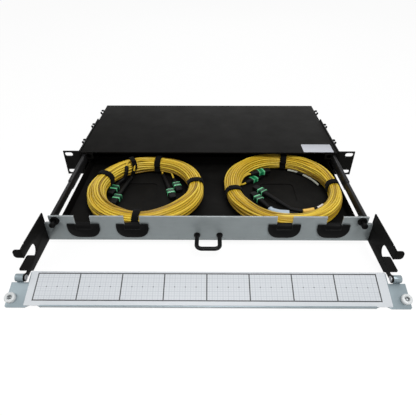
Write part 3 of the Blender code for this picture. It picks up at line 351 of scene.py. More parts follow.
    @staticmethod
    def fill_ruling(graph: Graph, given: dict[str, Any]) -> dict[str, Any]:
        """Lines a pitch apart, one of them at place 0: near when the place wraps to about 0.

        Args:
            graph: the group's graph.
            given: its input sockets by name.

        Returns:
            The output sockets by name.
        """
        half = graph.sum("MULTIPLY", given["Pitch"], 0.5)
        wrapped = graph.sum("FLOORED_MODULO", graph.sum("ADD", given["Place"], half), given["Pitch"])
        off = graph.sum("ABSOLUTE", graph.sum("SUBTRACT", wrapped, half))
        return {"Line": graph.sum("LESS_THAN", off, graph.sum("MULTIPLY", given["Width"], 0.5))}


# Finishes


@dataclass(frozen=True)
class Finish:
    """One material: a colour with its gloss, and how far each shared effect goes."""

    name: str
    colour: Colour
    slot: str
    roughness: float = 0.5
    metallic: float = 0.0
    specular: float = 0.5
    grain_scale: float = 1500.0
    grain_depth: float = 0.5
    bump: float = 0.15
    mottle: float = 0.12
    dust: float = 0.0
    scuffs: float = 0.0
    scuff_scale: ClassVar[float] = 240.0

    def toned(self, share: float, lift: float = 0.0) -> Colour:
        """The colour times a share, plus a lift, each part at most 1."""
        return tuple(min(1.0, part * share + lift) for part in self.colour)

    def start(self) -> tuple[bpy.types.Material, Graph, bpy.types.Node, Any]:
        """Make the material with its plain socket values.

        Returns:
            The material, its graph, its Principled node and the Object coordinates.
        """
        made = bpy.data.materials.new(self.name)
        made.use_nodes = True
        graph = Graph(made.node_tree)
        shader = made.node_tree.nodes["Principled BSDF"]
        shader.inputs["Base Color"].default_value = (*self.colour, 1.0)
        shader.inputs["Roughness"].default_value = self.roughness
        shader.inputs["Metallic"].default_value = self.metallic
        shader.inputs["Specular IOR Level"].default_value = self.specular
        return made, graph, shader, graph.node("ShaderNodeTexCoord").outputs["Object"]

    def bumped(self, graph: Graph, shader: bpy.types.Node, height: Any, reach: float = 0.00008) -> None:
        """Feed a height into the shader's normal.

        Args:
            graph: the material's graph.
            shader: its Principled node.
            height: the height's socket.
            reach: how high a height of 1 stands, in metres.
        """
        inputs = {"Height": height, "Strength": self.bump, "Distance": reach}
        graph.tree.links.new(graph.node("ShaderNodeBump", inputs).outputs[0], shader.inputs["Normal"])

    def make(self, effects: Effects) -> bpy.types.Material:
        """Build the material.

        Args:
            effects: the shared node groups.

        Returns:
            The finished material.
        """
        made, graph, shader, place = self.start()
        grain = graph.group(effects.grain, Vector=place, Scale=self.grain_scale, Depth=self.grain_depth)
        tones = self.toned(1 - self.mottle), self.toned(1 + self.mottle)
        colour = graph.blend(grain.outputs["Mottle"], *tones)
        rough = graph.spread(grain.outputs["Mottle"], 0.0, 1.0, self.roughness - 0.04, self.roughness + 0.05)
        if self.scuffs:
            rub = graph.group(effects.scuff, Vector=place, Scale=self.scuff_scale, Amount=self.scuffs)
            colour = graph.blend(rub.outputs["Mask"], colour, self.toned(2.2, 0.03))
            rough = graph.sum("SUBTRACT", rough, graph.sum("MULTIPLY", rub.outputs["Mask"], 0.12))
        if self.dust:
            fall = graph.group(effects.dust, Vector=place, Colour=colour, Amount=self.dust)
            colour = fall.outputs["Colour"]
            rough = graph.sum("ADD", rough, graph.sum("MULTIPLY", fall.outputs["Mask"], 0.5))
        graph.tree.links.new(colour, shader.inputs["Base Color"])
        graph.tree.links.new(rough, shader.inputs["Roughness"])
        self.bumped(graph, shader, grain.outputs["Height"])
        return made


@dataclass(frozen=True)
class SteelFinish(Finish):
    """Bare or plated steel with drawn lines along the piece."""

    line_scale: float = 900.0

    def make(self, effects: Effects) -> bpy.types.Material:
        """Build the material from the drawn-line group.

        Args:
            effects: the shared node groups.

        Returns:
            The finished material.
        """
        made, graph, shader, place = self.start()
        lines = graph.group(effects.brush, Vector=place, Scale=self.line_scale)
        colour = graph.blend(lines.outputs["Streak"], self.toned(0.72), self.toned(1.25))
        graph.tree.links.new(colour, shader.inputs["Base Color"])
        rough = graph.spread(lines.outputs["Streak"], 0.0, 1.0, self.roughness + 0.08, self.roughness - 0.05)
        graph.tree.links.new(rough, shader.inputs["Roughness"])
        self.bumped(graph, shader, lines.outputs["Height"], 0.00002)
        return made


@dataclass(frozen=True)
class JacketFinish(Finish):
    """Cable jacket: the colour drifts along each turn, with a fine drawn skin."""

    deep: Colour = (0.17, 0.085, 0.004)
    pale: Colour = (0.80, 0.60, 0.07)

    def make(self, effects: Effects) -> bpy.types.Material:
        """Build the material on the cable's own UV map, U round it and V along it in metres.

        Args:
            effects: the shared node groups.

        Returns:
            The finished material.
        """
        made, graph, shader, place = self.start()
        along = graph.node("ShaderNodeUVMap", uv_map="UVMap").outputs[0]
        parts = graph.node("ShaderNodeSeparateXYZ", {0: along})
        line = graph.node("ShaderNodeCombineXYZ", {"X": parts.outputs["Y"]}).outputs[0]
        drift = graph.spread(graph.noise(line, 3.1, 2.0), 0.42, 0.6)
        colour = graph.blend(graph.sum("MULTIPLY", drift, 0.75), self.colour, self.pale)
        dull = graph.spread(graph.noise(line, 5.3, 1.0), 0.5, 0.62)
        colour = graph.blend(graph.sum("MULTIPLY", dull, 0.8), colour, self.deep)
        smudge = graph.spread(graph.noise(place, 160.0, 3.0), 0.5, 0.8)
        colour = graph.blend(graph.sum("MULTIPLY", smudge, 0.25), colour, self.deep)
        graph.tree.links.new(colour, shader.inputs["Base Color"])
        skin = graph.node("ShaderNodeMapping", {"Vector": along, "Scale": (6.0, 60.0, 1.0)})
        marks = graph.noise(skin.outputs[0], 4.0, 3.0)
        rough = graph.spread(marks, 0.3, 0.7, self.roughness - 0.06, self.roughness + 0.1)
        graph.tree.links.new(rough, shader.inputs["Roughness"])
        self.bumped(graph, shader, marks, 0.00005)
        return made


@dataclass(frozen=True)
class TapeFinish(Finish):
    """Hook-and-loop tape: a dull pile of loops that catches light at its rim."""

    loop_pitch: float = 0.0007
    sheen: float = 0.03

    def make(self, effects: Effects) -> bpy.types.Material:
        """Build the material from the loop group on the tape's own UV map, in metres.

        Args:
            effects: the shared node groups.

        Returns:
            The finished material.
        """
        made, graph, shader, _ = self.start()
        shader.inputs["Sheen Weight"].default_value = self.sheen
        shader.inputs["Sheen Roughness"].default_value = 0.5
        flat = graph.node("ShaderNodeUVMap", uv_map="UVMap").outputs[0]
        loops = graph.group(effects.weave, Vector=flat, Pitch=self.loop_pitch)
        colour = graph.blend(loops.outputs["Fibre"], self.colour, self.toned(2.5, 0.003))
        graph.tree.links.new(colour, shader.inputs["Base Color"])
        self.bumped(graph, shader, loops.outputs["Height"], 0.0003)
        return made


@dataclass(frozen=True)
class CardFinish(Finish):
    """Write-on card: a dark frame, eight cells, and a fine grey grid with small ticks.

    Lengths are in metres on the card's own plane, whose origin is on the door's hinge line.
    A fainter grid lies halfway between the fine one's lines. Strengths are shares of ink.
    """

    pivot: tuple[float, float, float] = (0.0, HINGE_LINE[0] * MM, HINGE_LINE[1] * MM)
    droop: float = math.radians(DOOR_DROOP)
    left: float = -0.20165
    right: float = 0.19905
    near: float = -0.0266
    far: float = 0.0064
    cells: int = 8
    columns: int = 8
    rows: int = 6
    frame_line: float = 0.0015
    fine_line: float = 0.0006
    tick_width: float = 0.0013
    tick_height: float = 0.0012
    frame_strength: float = 0.93
    fine_strength: float = 0.36
    faint_strength: float = 0.22
    tick_strength: float = 0.75
    ink: Colour = (0.018, 0.018, 0.02)
    grey: Colour = (0.27, 0.29, 0.34)

    def make(self, effects: Effects) -> bpy.types.Material:
        """Build the material from ruled lines on the turned Object coordinates.

        Args:
            effects: the shared node groups.

        Returns:
            The finished material.
        """
        made, graph, shader, place = self.start()
        inputs = {"Vector": place, "Location": self.pivot, "Rotation": (self.droop, 0.0, 0.0)}
        flat = graph.node("ShaderNodeMapping", inputs, vector_type="TEXTURE").outputs[0]
        parts = graph.node("ShaderNodeSeparateXYZ", {0: flat})
        x = graph.sum("SUBTRACT", parts.outputs["X"], self.left)
        y = graph.sum("SUBTRACT", parts.outputs["Y"], self.near)
        wide, tall = self.right - self.left, self.far - self.near
        cell = wide / self.cells

        def between(value: Any, low: float, high: float) -> Any:
            """1 where a value lies between two others."""
            over = graph.sum("GREATER_THAN", value, low)
            return graph.sum("MULTIPLY", over, graph.sum("LESS_THAN", value, high))

        def lines(value: Any, pitch: float, width: float) -> Any:
            """1 on lines a pitch apart."""
            return graph.group(effects.ruling, Place=value, Pitch=pitch, Width=width).outputs["Line"]

        half = self.frame_line / 2
        inside = graph.sum("MULTIPLY", between(x, -half, wide + half), between(y, -half, tall + half))

        def grid(across: float, up: float, width: float) -> Any:
            """1 on a grid's lines, inside the frame."""
            both = graph.sum("MAXIMUM", lines(x, across, width), lines(y, up, width))
            return graph.sum("MULTIPLY", inside, both)

        square = (cell / self.columns, tall / self.rows)
        middle = graph.sum("SUBTRACT", y, tall / 2)
        tick = graph.sum("MULTIPLY", lines(x, cell / 4, self.tick_width), inside)
        tick = graph.sum("MULTIPLY", tick, between(middle, -self.tick_height / 2, self.tick_height / 2))
        layers = (
            (grid(square[0] / 2, square[1] / 2, self.fine_line), self.faint_strength, self.grey),
            (grid(*square, self.fine_line), self.fine_strength, self.grey),
            (tick, self.tick_strength, self.ink),
            (grid(cell, tall, self.frame_line), self.frame_strength, self.ink),
        )
        fibre = graph.spread(graph.noise(place, 900.0, 4.0, 0.7), 0.3, 0.7)
        colour = graph.blend(fibre, self.toned(0.97), self.colour)
        for mask, strength, tint in layers:
            colour = graph.blend(graph.sum("MULTIPLY", mask, strength), colour, tint)
        graph.tree.links.new(colour, shader.inputs["Base Color"])
        self.bumped(graph, shader, graph.noise(place, 2500.0, 3.0), 0.00003)
        return made


# After the slot: roughness, metallic, specular, grain scale, grain depth, bump, mottle, dust, scuffs
FINISHES = (
    Finish(
        "black_powder_coat", (0.0039, 0.0037, 0.0034), "black_powder",
        0.6, 0.0, 0.045, 1500, 0.6, 0.2, 0.1, 0.012, 0.03,
    ),
    # the lighter edge coats below are painted highlights on rounded edges; on the black powder coat also
    # wear
    Finish(
        "powder_edge_wear_and_highlight", (0.016, 0.016, 0.016), "black_powder",
        0.45, 0.0, 0.3, 1500, 0.3, 0.1, 0.3,
    ),
    Finish(
        "grey_face_coat", (0.222, 0.250, 0.256), "face_grey",
        0.42, 0.35, 0.5, 2600, 0.6, 0.1, 0.05, 0.0, 0.1,
    ),
    Finish("grey_face_edge_highlight", (0.40, 0.42, 0.43), "face_grey", 0.34, 0.4, 0.5, 2600, 0.3, 0.1, 0.1),
    Finish(
        "silver_door_coat", (0.215, 0.262, 0.285), "door_silver",
        0.36, 0.4, 0.5, 2600, 0.6, 0.1, 0.05, 0.0, 0.1,
    ),
    Finish("silver_door_edge_highlight", (0.48, 0.51, 0.53), "door_silver", 0.3, 0.4, 0.5, 2600, 0.3, 0.1, 0.08),
    Finish(
        "black_nylon", (0.0022, 0.0022, 0.0023), "black_plastic",
        0.5, 0.0, 0.06, 1100, 0.5, 0.12, 0.2, 0.006,
    ),
    Finish(
        "black_nylon_edge_highlight", (0.009, 0.010, 0.010), "black_plastic",
        0.42, 0.0, 0.25, 1100, 0.4, 0.1, 0.2,
    ),
    Finish(
        "handle_coat", (0.0026, 0.0026, 0.0028), "handle_black",
        0.38, 0.0, 0.12, 900, 0.4, 0.1, 0.15, 0.0, 0.1,
    ),
    Finish("white_nylon", (0.56, 0.58, 0.585), "nylon_white", 0.4, 0.0, 0.5, 900, 0.4, 0.08, 0.03),
    Finish("sleeve_film", (0.36, 0.43, 0.50), "nylon_white", 0.3, 0.0, 0.4, 700, 0.4, 0.1, 0.06),
    Finish("pale_sleeve", (0.70, 0.64, 0.58), "nylon_white", 0.4, 0.0, 0.4, 700, 0.4, 0.1, 0.06),
    Finish("grey_sleeve", (0.33, 0.335, 0.29), "nylon_white", 0.4, 0.0, 0.4, 700, 0.4, 0.1, 0.06),
    Finish("warm_sleeve", (0.74, 0.46, 0.09), "cable_yellow", 0.4, 0.0, 0.4, 700, 0.4, 0.1, 0.08),
    Finish("label_paper", (0.46, 0.475, 0.52), "nylon_white", 0.55, 0.0, 0.5, 2200, 0.4, 0.08, 0.03),
    Finish(
        "boot_rubber", (0.003, 0.003, 0.0032), "connector_black",
        0.5, 0.0, 0.1, 1000, 0.5, 0.15, 0.2, 0.006,
    ),
    # two copies of one green housing: the darker one carries painted shade, the lighter one painted light
    Finish(
        "green_body_painted_shade", (0.002, 0.042, 0.018), "connector_black",
        0.36, 0.0, 0.3, 900, 0.4, 0.08, 0.15,
    ),
    Finish(
        "green_body_painted_lit", (0.004, 0.16, 0.055), "connector_black",
        0.36, 0.0, 0.3, 900, 0.4, 0.08, 0.15,
    ),
    # pale green rim: a painted highlight where the connector housing's edges catch light
    Finish("painted_highlight_green_rim", (0.11, 0.46, 0.22), "connector_black", 0.32, 0.0, 0.4, 900, 0.4, 0.08, 0.1),
    SteelFinish("slide_zinc", (0.018, 0.018, 0.019), "slide_steel", 0.42, 0.5, 0.2),
    SteelFinish("slide_edge_highlight", (0.09, 0.09, 0.093), "slide_steel", 0.34, 0.8),
    SteelFinish("bright_steel", (0.42, 0.42, 0.43), "pin_steel", 0.28, 1.0),
    SteelFinish("dull_steel", (0.15, 0.16, 0.165), "pin_steel", 0.36, 0.9),
    JacketFinish("yellow_jacket", (0.52, 0.328, 0.013), "cable_yellow", 0.34, 0.0, 0.3, bump=0.1),
    TapeFinish("loop_tape", (0.0014, 0.0014, 0.0015), "strap_black", 0.9, 0.0, 0.05, bump=0.6),
    CardFinish("ruled_card", (0.55, 0.575, 0.60), "card_white", 0.5, bump=0.05),
)


# Surfaces


def superellipse(steps: int, across: Any, up: Any, squareness: Any = 2.0) -> tuple[Array, Array]:
    """Points round an oval whose corners fill out as squareness grows.

    Each coordinate is its half size times the cosine or sine, raised to 2 / squareness
    with its sign kept.

    Args:
        steps: points round the oval.
        across: half width, one number or a column of them.
        up: half height, one number or a column of them.
        squareness: 2 for an ellipse, more for squarer.

    Returns:
        The across and up coordinates.
    """
    turn = np.linspace(0, 2 * np.pi, steps, endpoint=False)
    c, s = np.cos(turn), np.sin(turn)
    power = 2.0 / np.asarray(squareness, float)
    return np.sign(c) * np.abs(c) ** power * across, np.sign(s) * np.abs(s) ** power * up


def column(values: Any) -> Array:
    """Numbers as a column, one for each row of a surface."""
    return np.asarray(values, float)[:, None]


def unit(vectors: Array) -> Array:
    """Vectors scaled to length 1."""
    return vectors / np.maximum(np.linalg.norm(vectors, axis=-1, keepdims=True), 1e-12)


def lengths(points: Array, closed: bool = False) -> Array:
    """Distance along a line at each of its points, and back at the first one if it closes."""
    steps = np.diff(points, axis=0, append=points[:1]) if closed else np.diff(points, axis=0)
    return np.concatenate([[0], np.cumsum(np.linalg.norm(steps, axis=1))])


def spline(points: Array, step: float) -> Array:
    """A smooth line through points: a Catmull-Rom curve, sampled evenly between each pair.

    Args:
        points: places to pass, shape (n, 3).
        step: about how far apart the samples lie.

    Returns:
        The samples, first and last point included.
    """
    points = np.asarray(points, float)
    padded = np.vstack([2 * points[0] - points[1], points, 2 * points[-1] - points[-2]])
    counts = np.maximum(2, np.round(np.linalg.norm(np.diff(points, axis=0), axis=1) / step)).astype(int)
    piece = np.repeat(np.arange(len(counts)), counts)
    within = np.arange(len(piece)) - np.repeat(np.cumsum(counts) - counts, counts)
    t = (within / counts[piece])[:, None]
    a, b, c, d = (padded[piece + k] for k in range(4))
    curve = 0.5 * (2 * b + (c - a) * t + (2 * a - 5 * b + 4 * c - d) * t**2 + (3 * b - a - 3 * c + d) * t**3)
    return np.vstack([curve, points[-1]])


def arc(centre: tuple[float, float], radius: float, start: float, end: float, steps: int) -> Array:
    """Points along an arc in a plane, angles in degrees, both ends included."""
    turn = np.radians(np.linspace(start, end, steps + 1))
    return np.stack([centre[0] + radius * np.cos(turn), centre[1] + radius * np.sin(turn)], axis=1)


def rounded_outline(width: float, depth: float, radius: float, steps: int = 5) -> Array:
    """The outline of a rectangle about the origin with round corners.

    Args:
        width: its size in X.
        depth: its size in Y.
        radius: of the corners.
        steps: stretches in each corner.

    Returns:
        The points in order.
    """
    w, d = width / 2 - radius, depth / 2 - radius
    corners = (((w, d), 0), ((-w, d), 90), ((-w, -d), 180), ((w, -d), 270))
    return np.vstack([arc(centre, radius, turn, turn + 90, steps) for centre, turn in corners])


@dataclass
class Surface:
    """A closed grid of points: rows along the piece, columns round it.

    The columns always close on themselves. The rows close when looped, and otherwise each
    end is capped with one face.
    """

    points: Array
    looped: bool = False
    finish: int = 0

    def moved(self, turn: Array, shift: Any) -> "Surface":
        """The same surface, turned by a matrix and then shifted."""
        points = self.points @ np.asarray(turn, float).T + np.asarray(shift, float)
        return Surface(points, self.looped, self.finish)

    def faces(self) -> tuple[list[list[int]], Array]:
        """Quads between neighbouring rows and columns, then the caps.

        Returns:
            The faces, and the UV of each face corner: U round, V along, both as lengths.
        """
        rows, columns = self.points.shape[:2]
        last = rows if self.looped else rows - 1
        i, j = np.meshgrid(np.arange(last), np.arange(columns), indexing="ij")
        i, j = i.ravel(), j.ravel()
        row, next_row = i * columns, (i + 1) % rows * columns
        next_column = (j + 1) % columns
        quads = np.stack([row + j, row + next_column, next_row + next_column, next_row + j], axis=1)
        along, around = (lengths(p, closed=True) for p in (self.points.mean(axis=1), self.points[rows // 2]))
        uv = np.stack([around[[j, j + 1, j + 1, j]], along[[i, i, i + 1, i + 1]]], axis=2).transpose(1, 0, 2)
        faces = quads.tolist()
        spots = [uv.reshape(-1, 2)]
        if not self.looped:
            faces.append(list(range(columns))[::-1])
            faces.append(list(range((rows - 1) * columns, rows * columns)))
            spots.append(np.zeros((2 * columns, 2)))
        uv = np.vstack(spots) * MM
        if self.volume(quads) < 0:
            faces, uv = self.flipped(faces, uv)
        return faces, uv

    def volume(self, quads: Array) -> float:
        """Six times the volume, up to the caps, from each quad's corners about the middle.

        Args:
            quads: corner numbers of the quads.

        Returns:
            The signed value, above 0 when the faces look outwards.
        """
        flat = self.points.reshape(-1, 3)
        a, b, c, d = (flat[quads[:, k]] - flat.mean(axis=0) for k in range(4))
        return float(np.sum(np.cross(a, b) * c) + np.sum(np.cross(a, c) * d))

    @staticmethod
    def flipped(faces: list[list[int]], uv: Array) -> tuple[list[list[int]], Array]:
        """The same faces seen from the other side, with their UVs.

        Args:
            faces: corner numbers of each face.
            uv: the UV of each face corner.

        Returns:
            Both, turned over.
        """
        order, start = [], 0
        for face in faces:
            order.extend(range(start + len(face) - 1, start - 1, -1))
            start += len(face)
        return [face[::-1] for face in faces], uv[order]


def loft(path: Array, across: Array, up: Array, side: Any = None, looped: bool = False) -> Surface:
    """Carry a section along a path.

    The section's across direction is level and square to the path, or is the given side,
    and its up direction is square to both.

    Args:
        path: the centre line, shape (rows, 3).
        across: section coordinates, shape (rows or 1, columns).
        up: the other section coordinates.
        side: a fixed across direction.
        looped: whether the path closes on itself.

    Returns:
        The surface.
    """
    path = np.asarray(path, float)
    if looped:
        ahead = unit(np.roll(path, -1, axis=0) - np.roll(path, 1, axis=0))
    else:
        ahead = unit(np.gradient(path, axis=0))
    if side is None:
        beside = unit(np.cross(ahead, (0, 0, 1)))
    else:
        beside = np.broadcast_to(unit(np.asarray(side, float)), path.shape)
    above = unit(np.cross(beside, ahead))
    across, up = np.atleast_2d(across), np.atleast_2d(up)
    points = path[:, None] + across[..., None] * beside[:, None] + up[..., None] * above[:, None]
    return Surface(points, looped)


def sleeve_tube(path: Array, radius: float, drawn: float, steps: int, squareness: float) -> Surface:
    """A tube along a path, drawn in at its first and last row.

    Args:
        path: the centre line.
        radius: half size of the tube.
        drawn: share of the radius at the two end rows.
        steps: points round the tube.
        squareness: 2 for a circle, more for squarer.

    Returns:
        The surface.
    """
    share = np.ones(len(path))
    share[[0, -1]] = drawn
    across, up = superellipse(steps, radius, radius, squareness)
    return loft(path, across * column(share), up * column(share))


def turned(profile: Any, axis: Axis, centre: Any, steps: int = 40) -> Surface:
    """Spin a profile of (height, radius) round an axis through the centre.

    Args:
        profile: rows of a place along the axis and a radius there.
        axis: which way the axis lies.
        centre: the point that places count from.
        steps: points round the axis.

    Returns:
        The surface.
    """
    profile = np.asarray(profile, float)
    ahead, first, second = (np.array(v, float) for v in axis.value)
    round_x, round_y = superellipse(steps, 1.0, 1.0)
    ring = column(round_x) * first + column(round_y) * second
    points = profile[:, 0, None, None] * ahead + profile[:, 1, None, None] * ring[None]
    return Surface(points + np.asarray(centre, float))


def slab(outline: Array, low: float, high: float, edge: float = 0.15) -> Surface:
    """A flat plate: an outline raised from low to high, drawn in a little at both rims.

    Args:
        outline: points in plan, about the origin.
        low: height of the underside.
        high: height of the top.
        edge: how far the rims are drawn in.

    Returns:
        The surface.
    """
    reach = np.abs(outline).max(axis=0)
    shrunk = outline * (1 - edge / reach)
    levels = ((low, shrunk), (low + edge, outline), (high - edge, outline), (high, shrunk))
    return Surface(np.stack([np.column_stack([line, np.full(len(line), z)]) for z, line in levels]))


def turn_matrix(angle: float, axis: str = "Z") -> Array:
    """Rotation about an axis by an angle in degrees.

    Args:
        angle: how far to turn.
        axis: X or Z.

    Returns:
        The matrix, 3 by 3.
    """
    c, s = math.cos(math.radians(angle)), math.sin(math.radians(angle))
    if axis == "X":
        return np.array([[1, 0, 0], [0, c, -s], [0, s, c]])
    return np.array([[c, -s, 0], [s, c, 0], [0, 0, 1]])


# Pieces


@dataclass
class Workshop:
    """Makes the materials once, and turns surfaces into finished pieces."""

    effects: Effects = field(default_factory=Effects)
    materials: dict[str, bpy.types.Material] = field(default_factory=dict)
    finishes: dict[str, Finish] = field(default_factory=lambda: {f.name: f for f in FINISHES})
    weld_reach: float = 0.00001
    flat_angle: float = 0.5
    sharp_angle: float = 34.0

    def material(self, name: str) -> bpy.types.Material:
        """The material of a finish, made on its first use.

        Args:
            name: the finish's name.

        Returns:
            The material.
        """
        if name not in self.materials:
            self.materials[name] = self.finishes[name].make(self.effects)
        return self.materials[name]

    def piece(
        self,
        name: str,
        surfaces: list[Surface],
        finishes: list[str],
        body: Body,
        replaces: tuple[str, ...] = (),
        sharp: float = 40.0,
    ) -> bpy.types.Object:
        """Write surfaces into one mesh object that rides on a body.

        Args:
            name: the piece's name.
            surfaces: its closed surfaces, in millimetres.
            finishes: names of its finishes, which surfaces point to by number.
            body: what it moves with.
            replaces: CAD nodes that it stands for.
            sharp: edges with a greater angle than this stay sharp.

        Returns:
            The new object.
        """
        vertices, faces, spots, numbers, start = [], [], [], [], 0
        for surface in surfaces:
            cells, uv = surface.faces()
            vertices.append(surface.points.reshape(-1, 3) * MM)
            faces.extend([[start + k for k in face] for face in cells])
            spots.append(uv)
            numbers.extend([surface.finish] * len(cells))
            start += len(vertices[-1])
        mesh = bpy.data.meshes.new(name)
        mesh.from_pydata(np.vstack(vertices).tolist(), [], faces)
        mesh.uv_layers.new(name="UVMap").data.foreach_set("uv", np.vstack(spots).astype(np.float32).ravel())
        mesh.polygons.foreach_set("material_index", np.array(numbers, np.int32))
        for finish in finishes:
            mesh.materials.append(self.material(finish))
        mesh.shade_smooth()
        mesh.set_sharp_from_angle(angle=math.radians(sharp))
        made = bpy.data.objects.new(name, mesh)
        bpy.context.scene.collection.objects.link(made)
        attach(made, body.value)
        if replaces:
            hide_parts(*replaces)
        log.info("%s: %d faces on %s", name, len(faces), body.value)
        return made

    def dress(self, node: bpy.types.Object, finish: str, edge: str, width: float) -> None:
        """Give a CAD node its coat, and round its sharp edges in a lighter edge finish that paints a
        highlight along them.

        Args:
            node: the CAD node's object.
            finish: name of the coat.
            edge: name of the lighter finish on the rounded edges, a painted edge highlight.
            width: how far the rounding reaches, in millimetres.
        """
        node.data.materials.clear()
        node.data.materials.append(self.material(finish))
        node.data.materials.append(self.material(edge))
        node.data.shade_smooth()
        weld = node.modifiers.new("merge corners", "WELD")
        weld.merge_threshold = self.weld_reach
        plane = node.modifiers.new("join flat faces", "DECIMATE")
        plane.decimate_type = "DISSOLVE"
        plane.angle_limit = math.radians(self.flat_angle)
        rounding = node.modifiers.new("round edges", "BEVEL")
        rounding.width = width * MM
        rounding.segments = 2
        rounding.limit_method = "ANGLE"
        rounding.angle_limit = math.radians(self.sharp_angle)
        rounding.harden_normals = True
        # the bevel faces take the lighter edge finish: a painted highlight along every sharp edge
        rounding.material = 1


@dataclass
class SheetMetal:
    """Pieces that keep their solids: which coat each gets, and how round its edges are."""

    # each row: coat, lighter edge finish that paints a highlight on the rounded edges, rounding width, node
    # names
    coats: tuple[tuple[str, str, float, tuple[str, ...]], ...] = (
        ("black_powder_coat", "powder_edge_wear_and_highlight", 0.35, (
            "chassis_base", "top_cover", "left_rack_ear", "right_rack_ear", "left_latch_keeper",
            "right_latch_keeper", "tray_pan", "left_side_arm", "right_side_arm")),
        ("slide_zinc", "slide_edge_highlight", 0.2, (
            "left_cabinet_rail", "right_cabinet_rail", "left_middle_rail", "right_middle_rail",
            "left_drawer_rail", "right_drawer_rail")),
        ("grey_face_coat", "grey_face_edge_highlight", 0.3, ("face_plate",)),
        ("silver_door_coat", "silver_door_edge_highlight", 0.3, ("door_panel",)),
        ("black_nylon", "black_nylon_edge_highlight", 0.3, (
            "left_cable_hook_1", "left_cable_hook_2", "left_cable_hook_3", "right_cable_hook_1",
            "right_cable_hook_2", "right_cable_hook_3", "port_insert_1", "port_insert_2",
            "port_insert_3", "port_insert_4")),
        ("ruled_card", "ruled_card", 0.1, ("label_card",)),
    )

    def dress(self, shop: Workshop, nodes: dict[str, bpy.types.Object]) -> None:
        """Dress every node of the table.

        Args:
            shop: where the finishes come from.
            nodes: the CAD nodes by name.
        """
        for finish, edge, width, names in self.coats:
            for name in names:
                shop.dress(nodes[name], finish, edge, width)
                log.info("%s: dressed in %s", name, finish)


@dataclass
class Run:
    """One stretch of cable that winds round the ring in one direction.

    first is its angle in degrees, a whole number of stations. sense is +1 or -1 and count
    its stations. start and end are places in the section, as shares of its half sizes.
    """

    first: int
    sense: int
    count: int
    start: tuple[float, float]
    end: tuple[float, float]

    def angles(self, count: int) -> Array:
        """The angles in degrees of the first stations of the run."""
        return self.first + self.sense * np.arange(count) * 360 / STATIONS


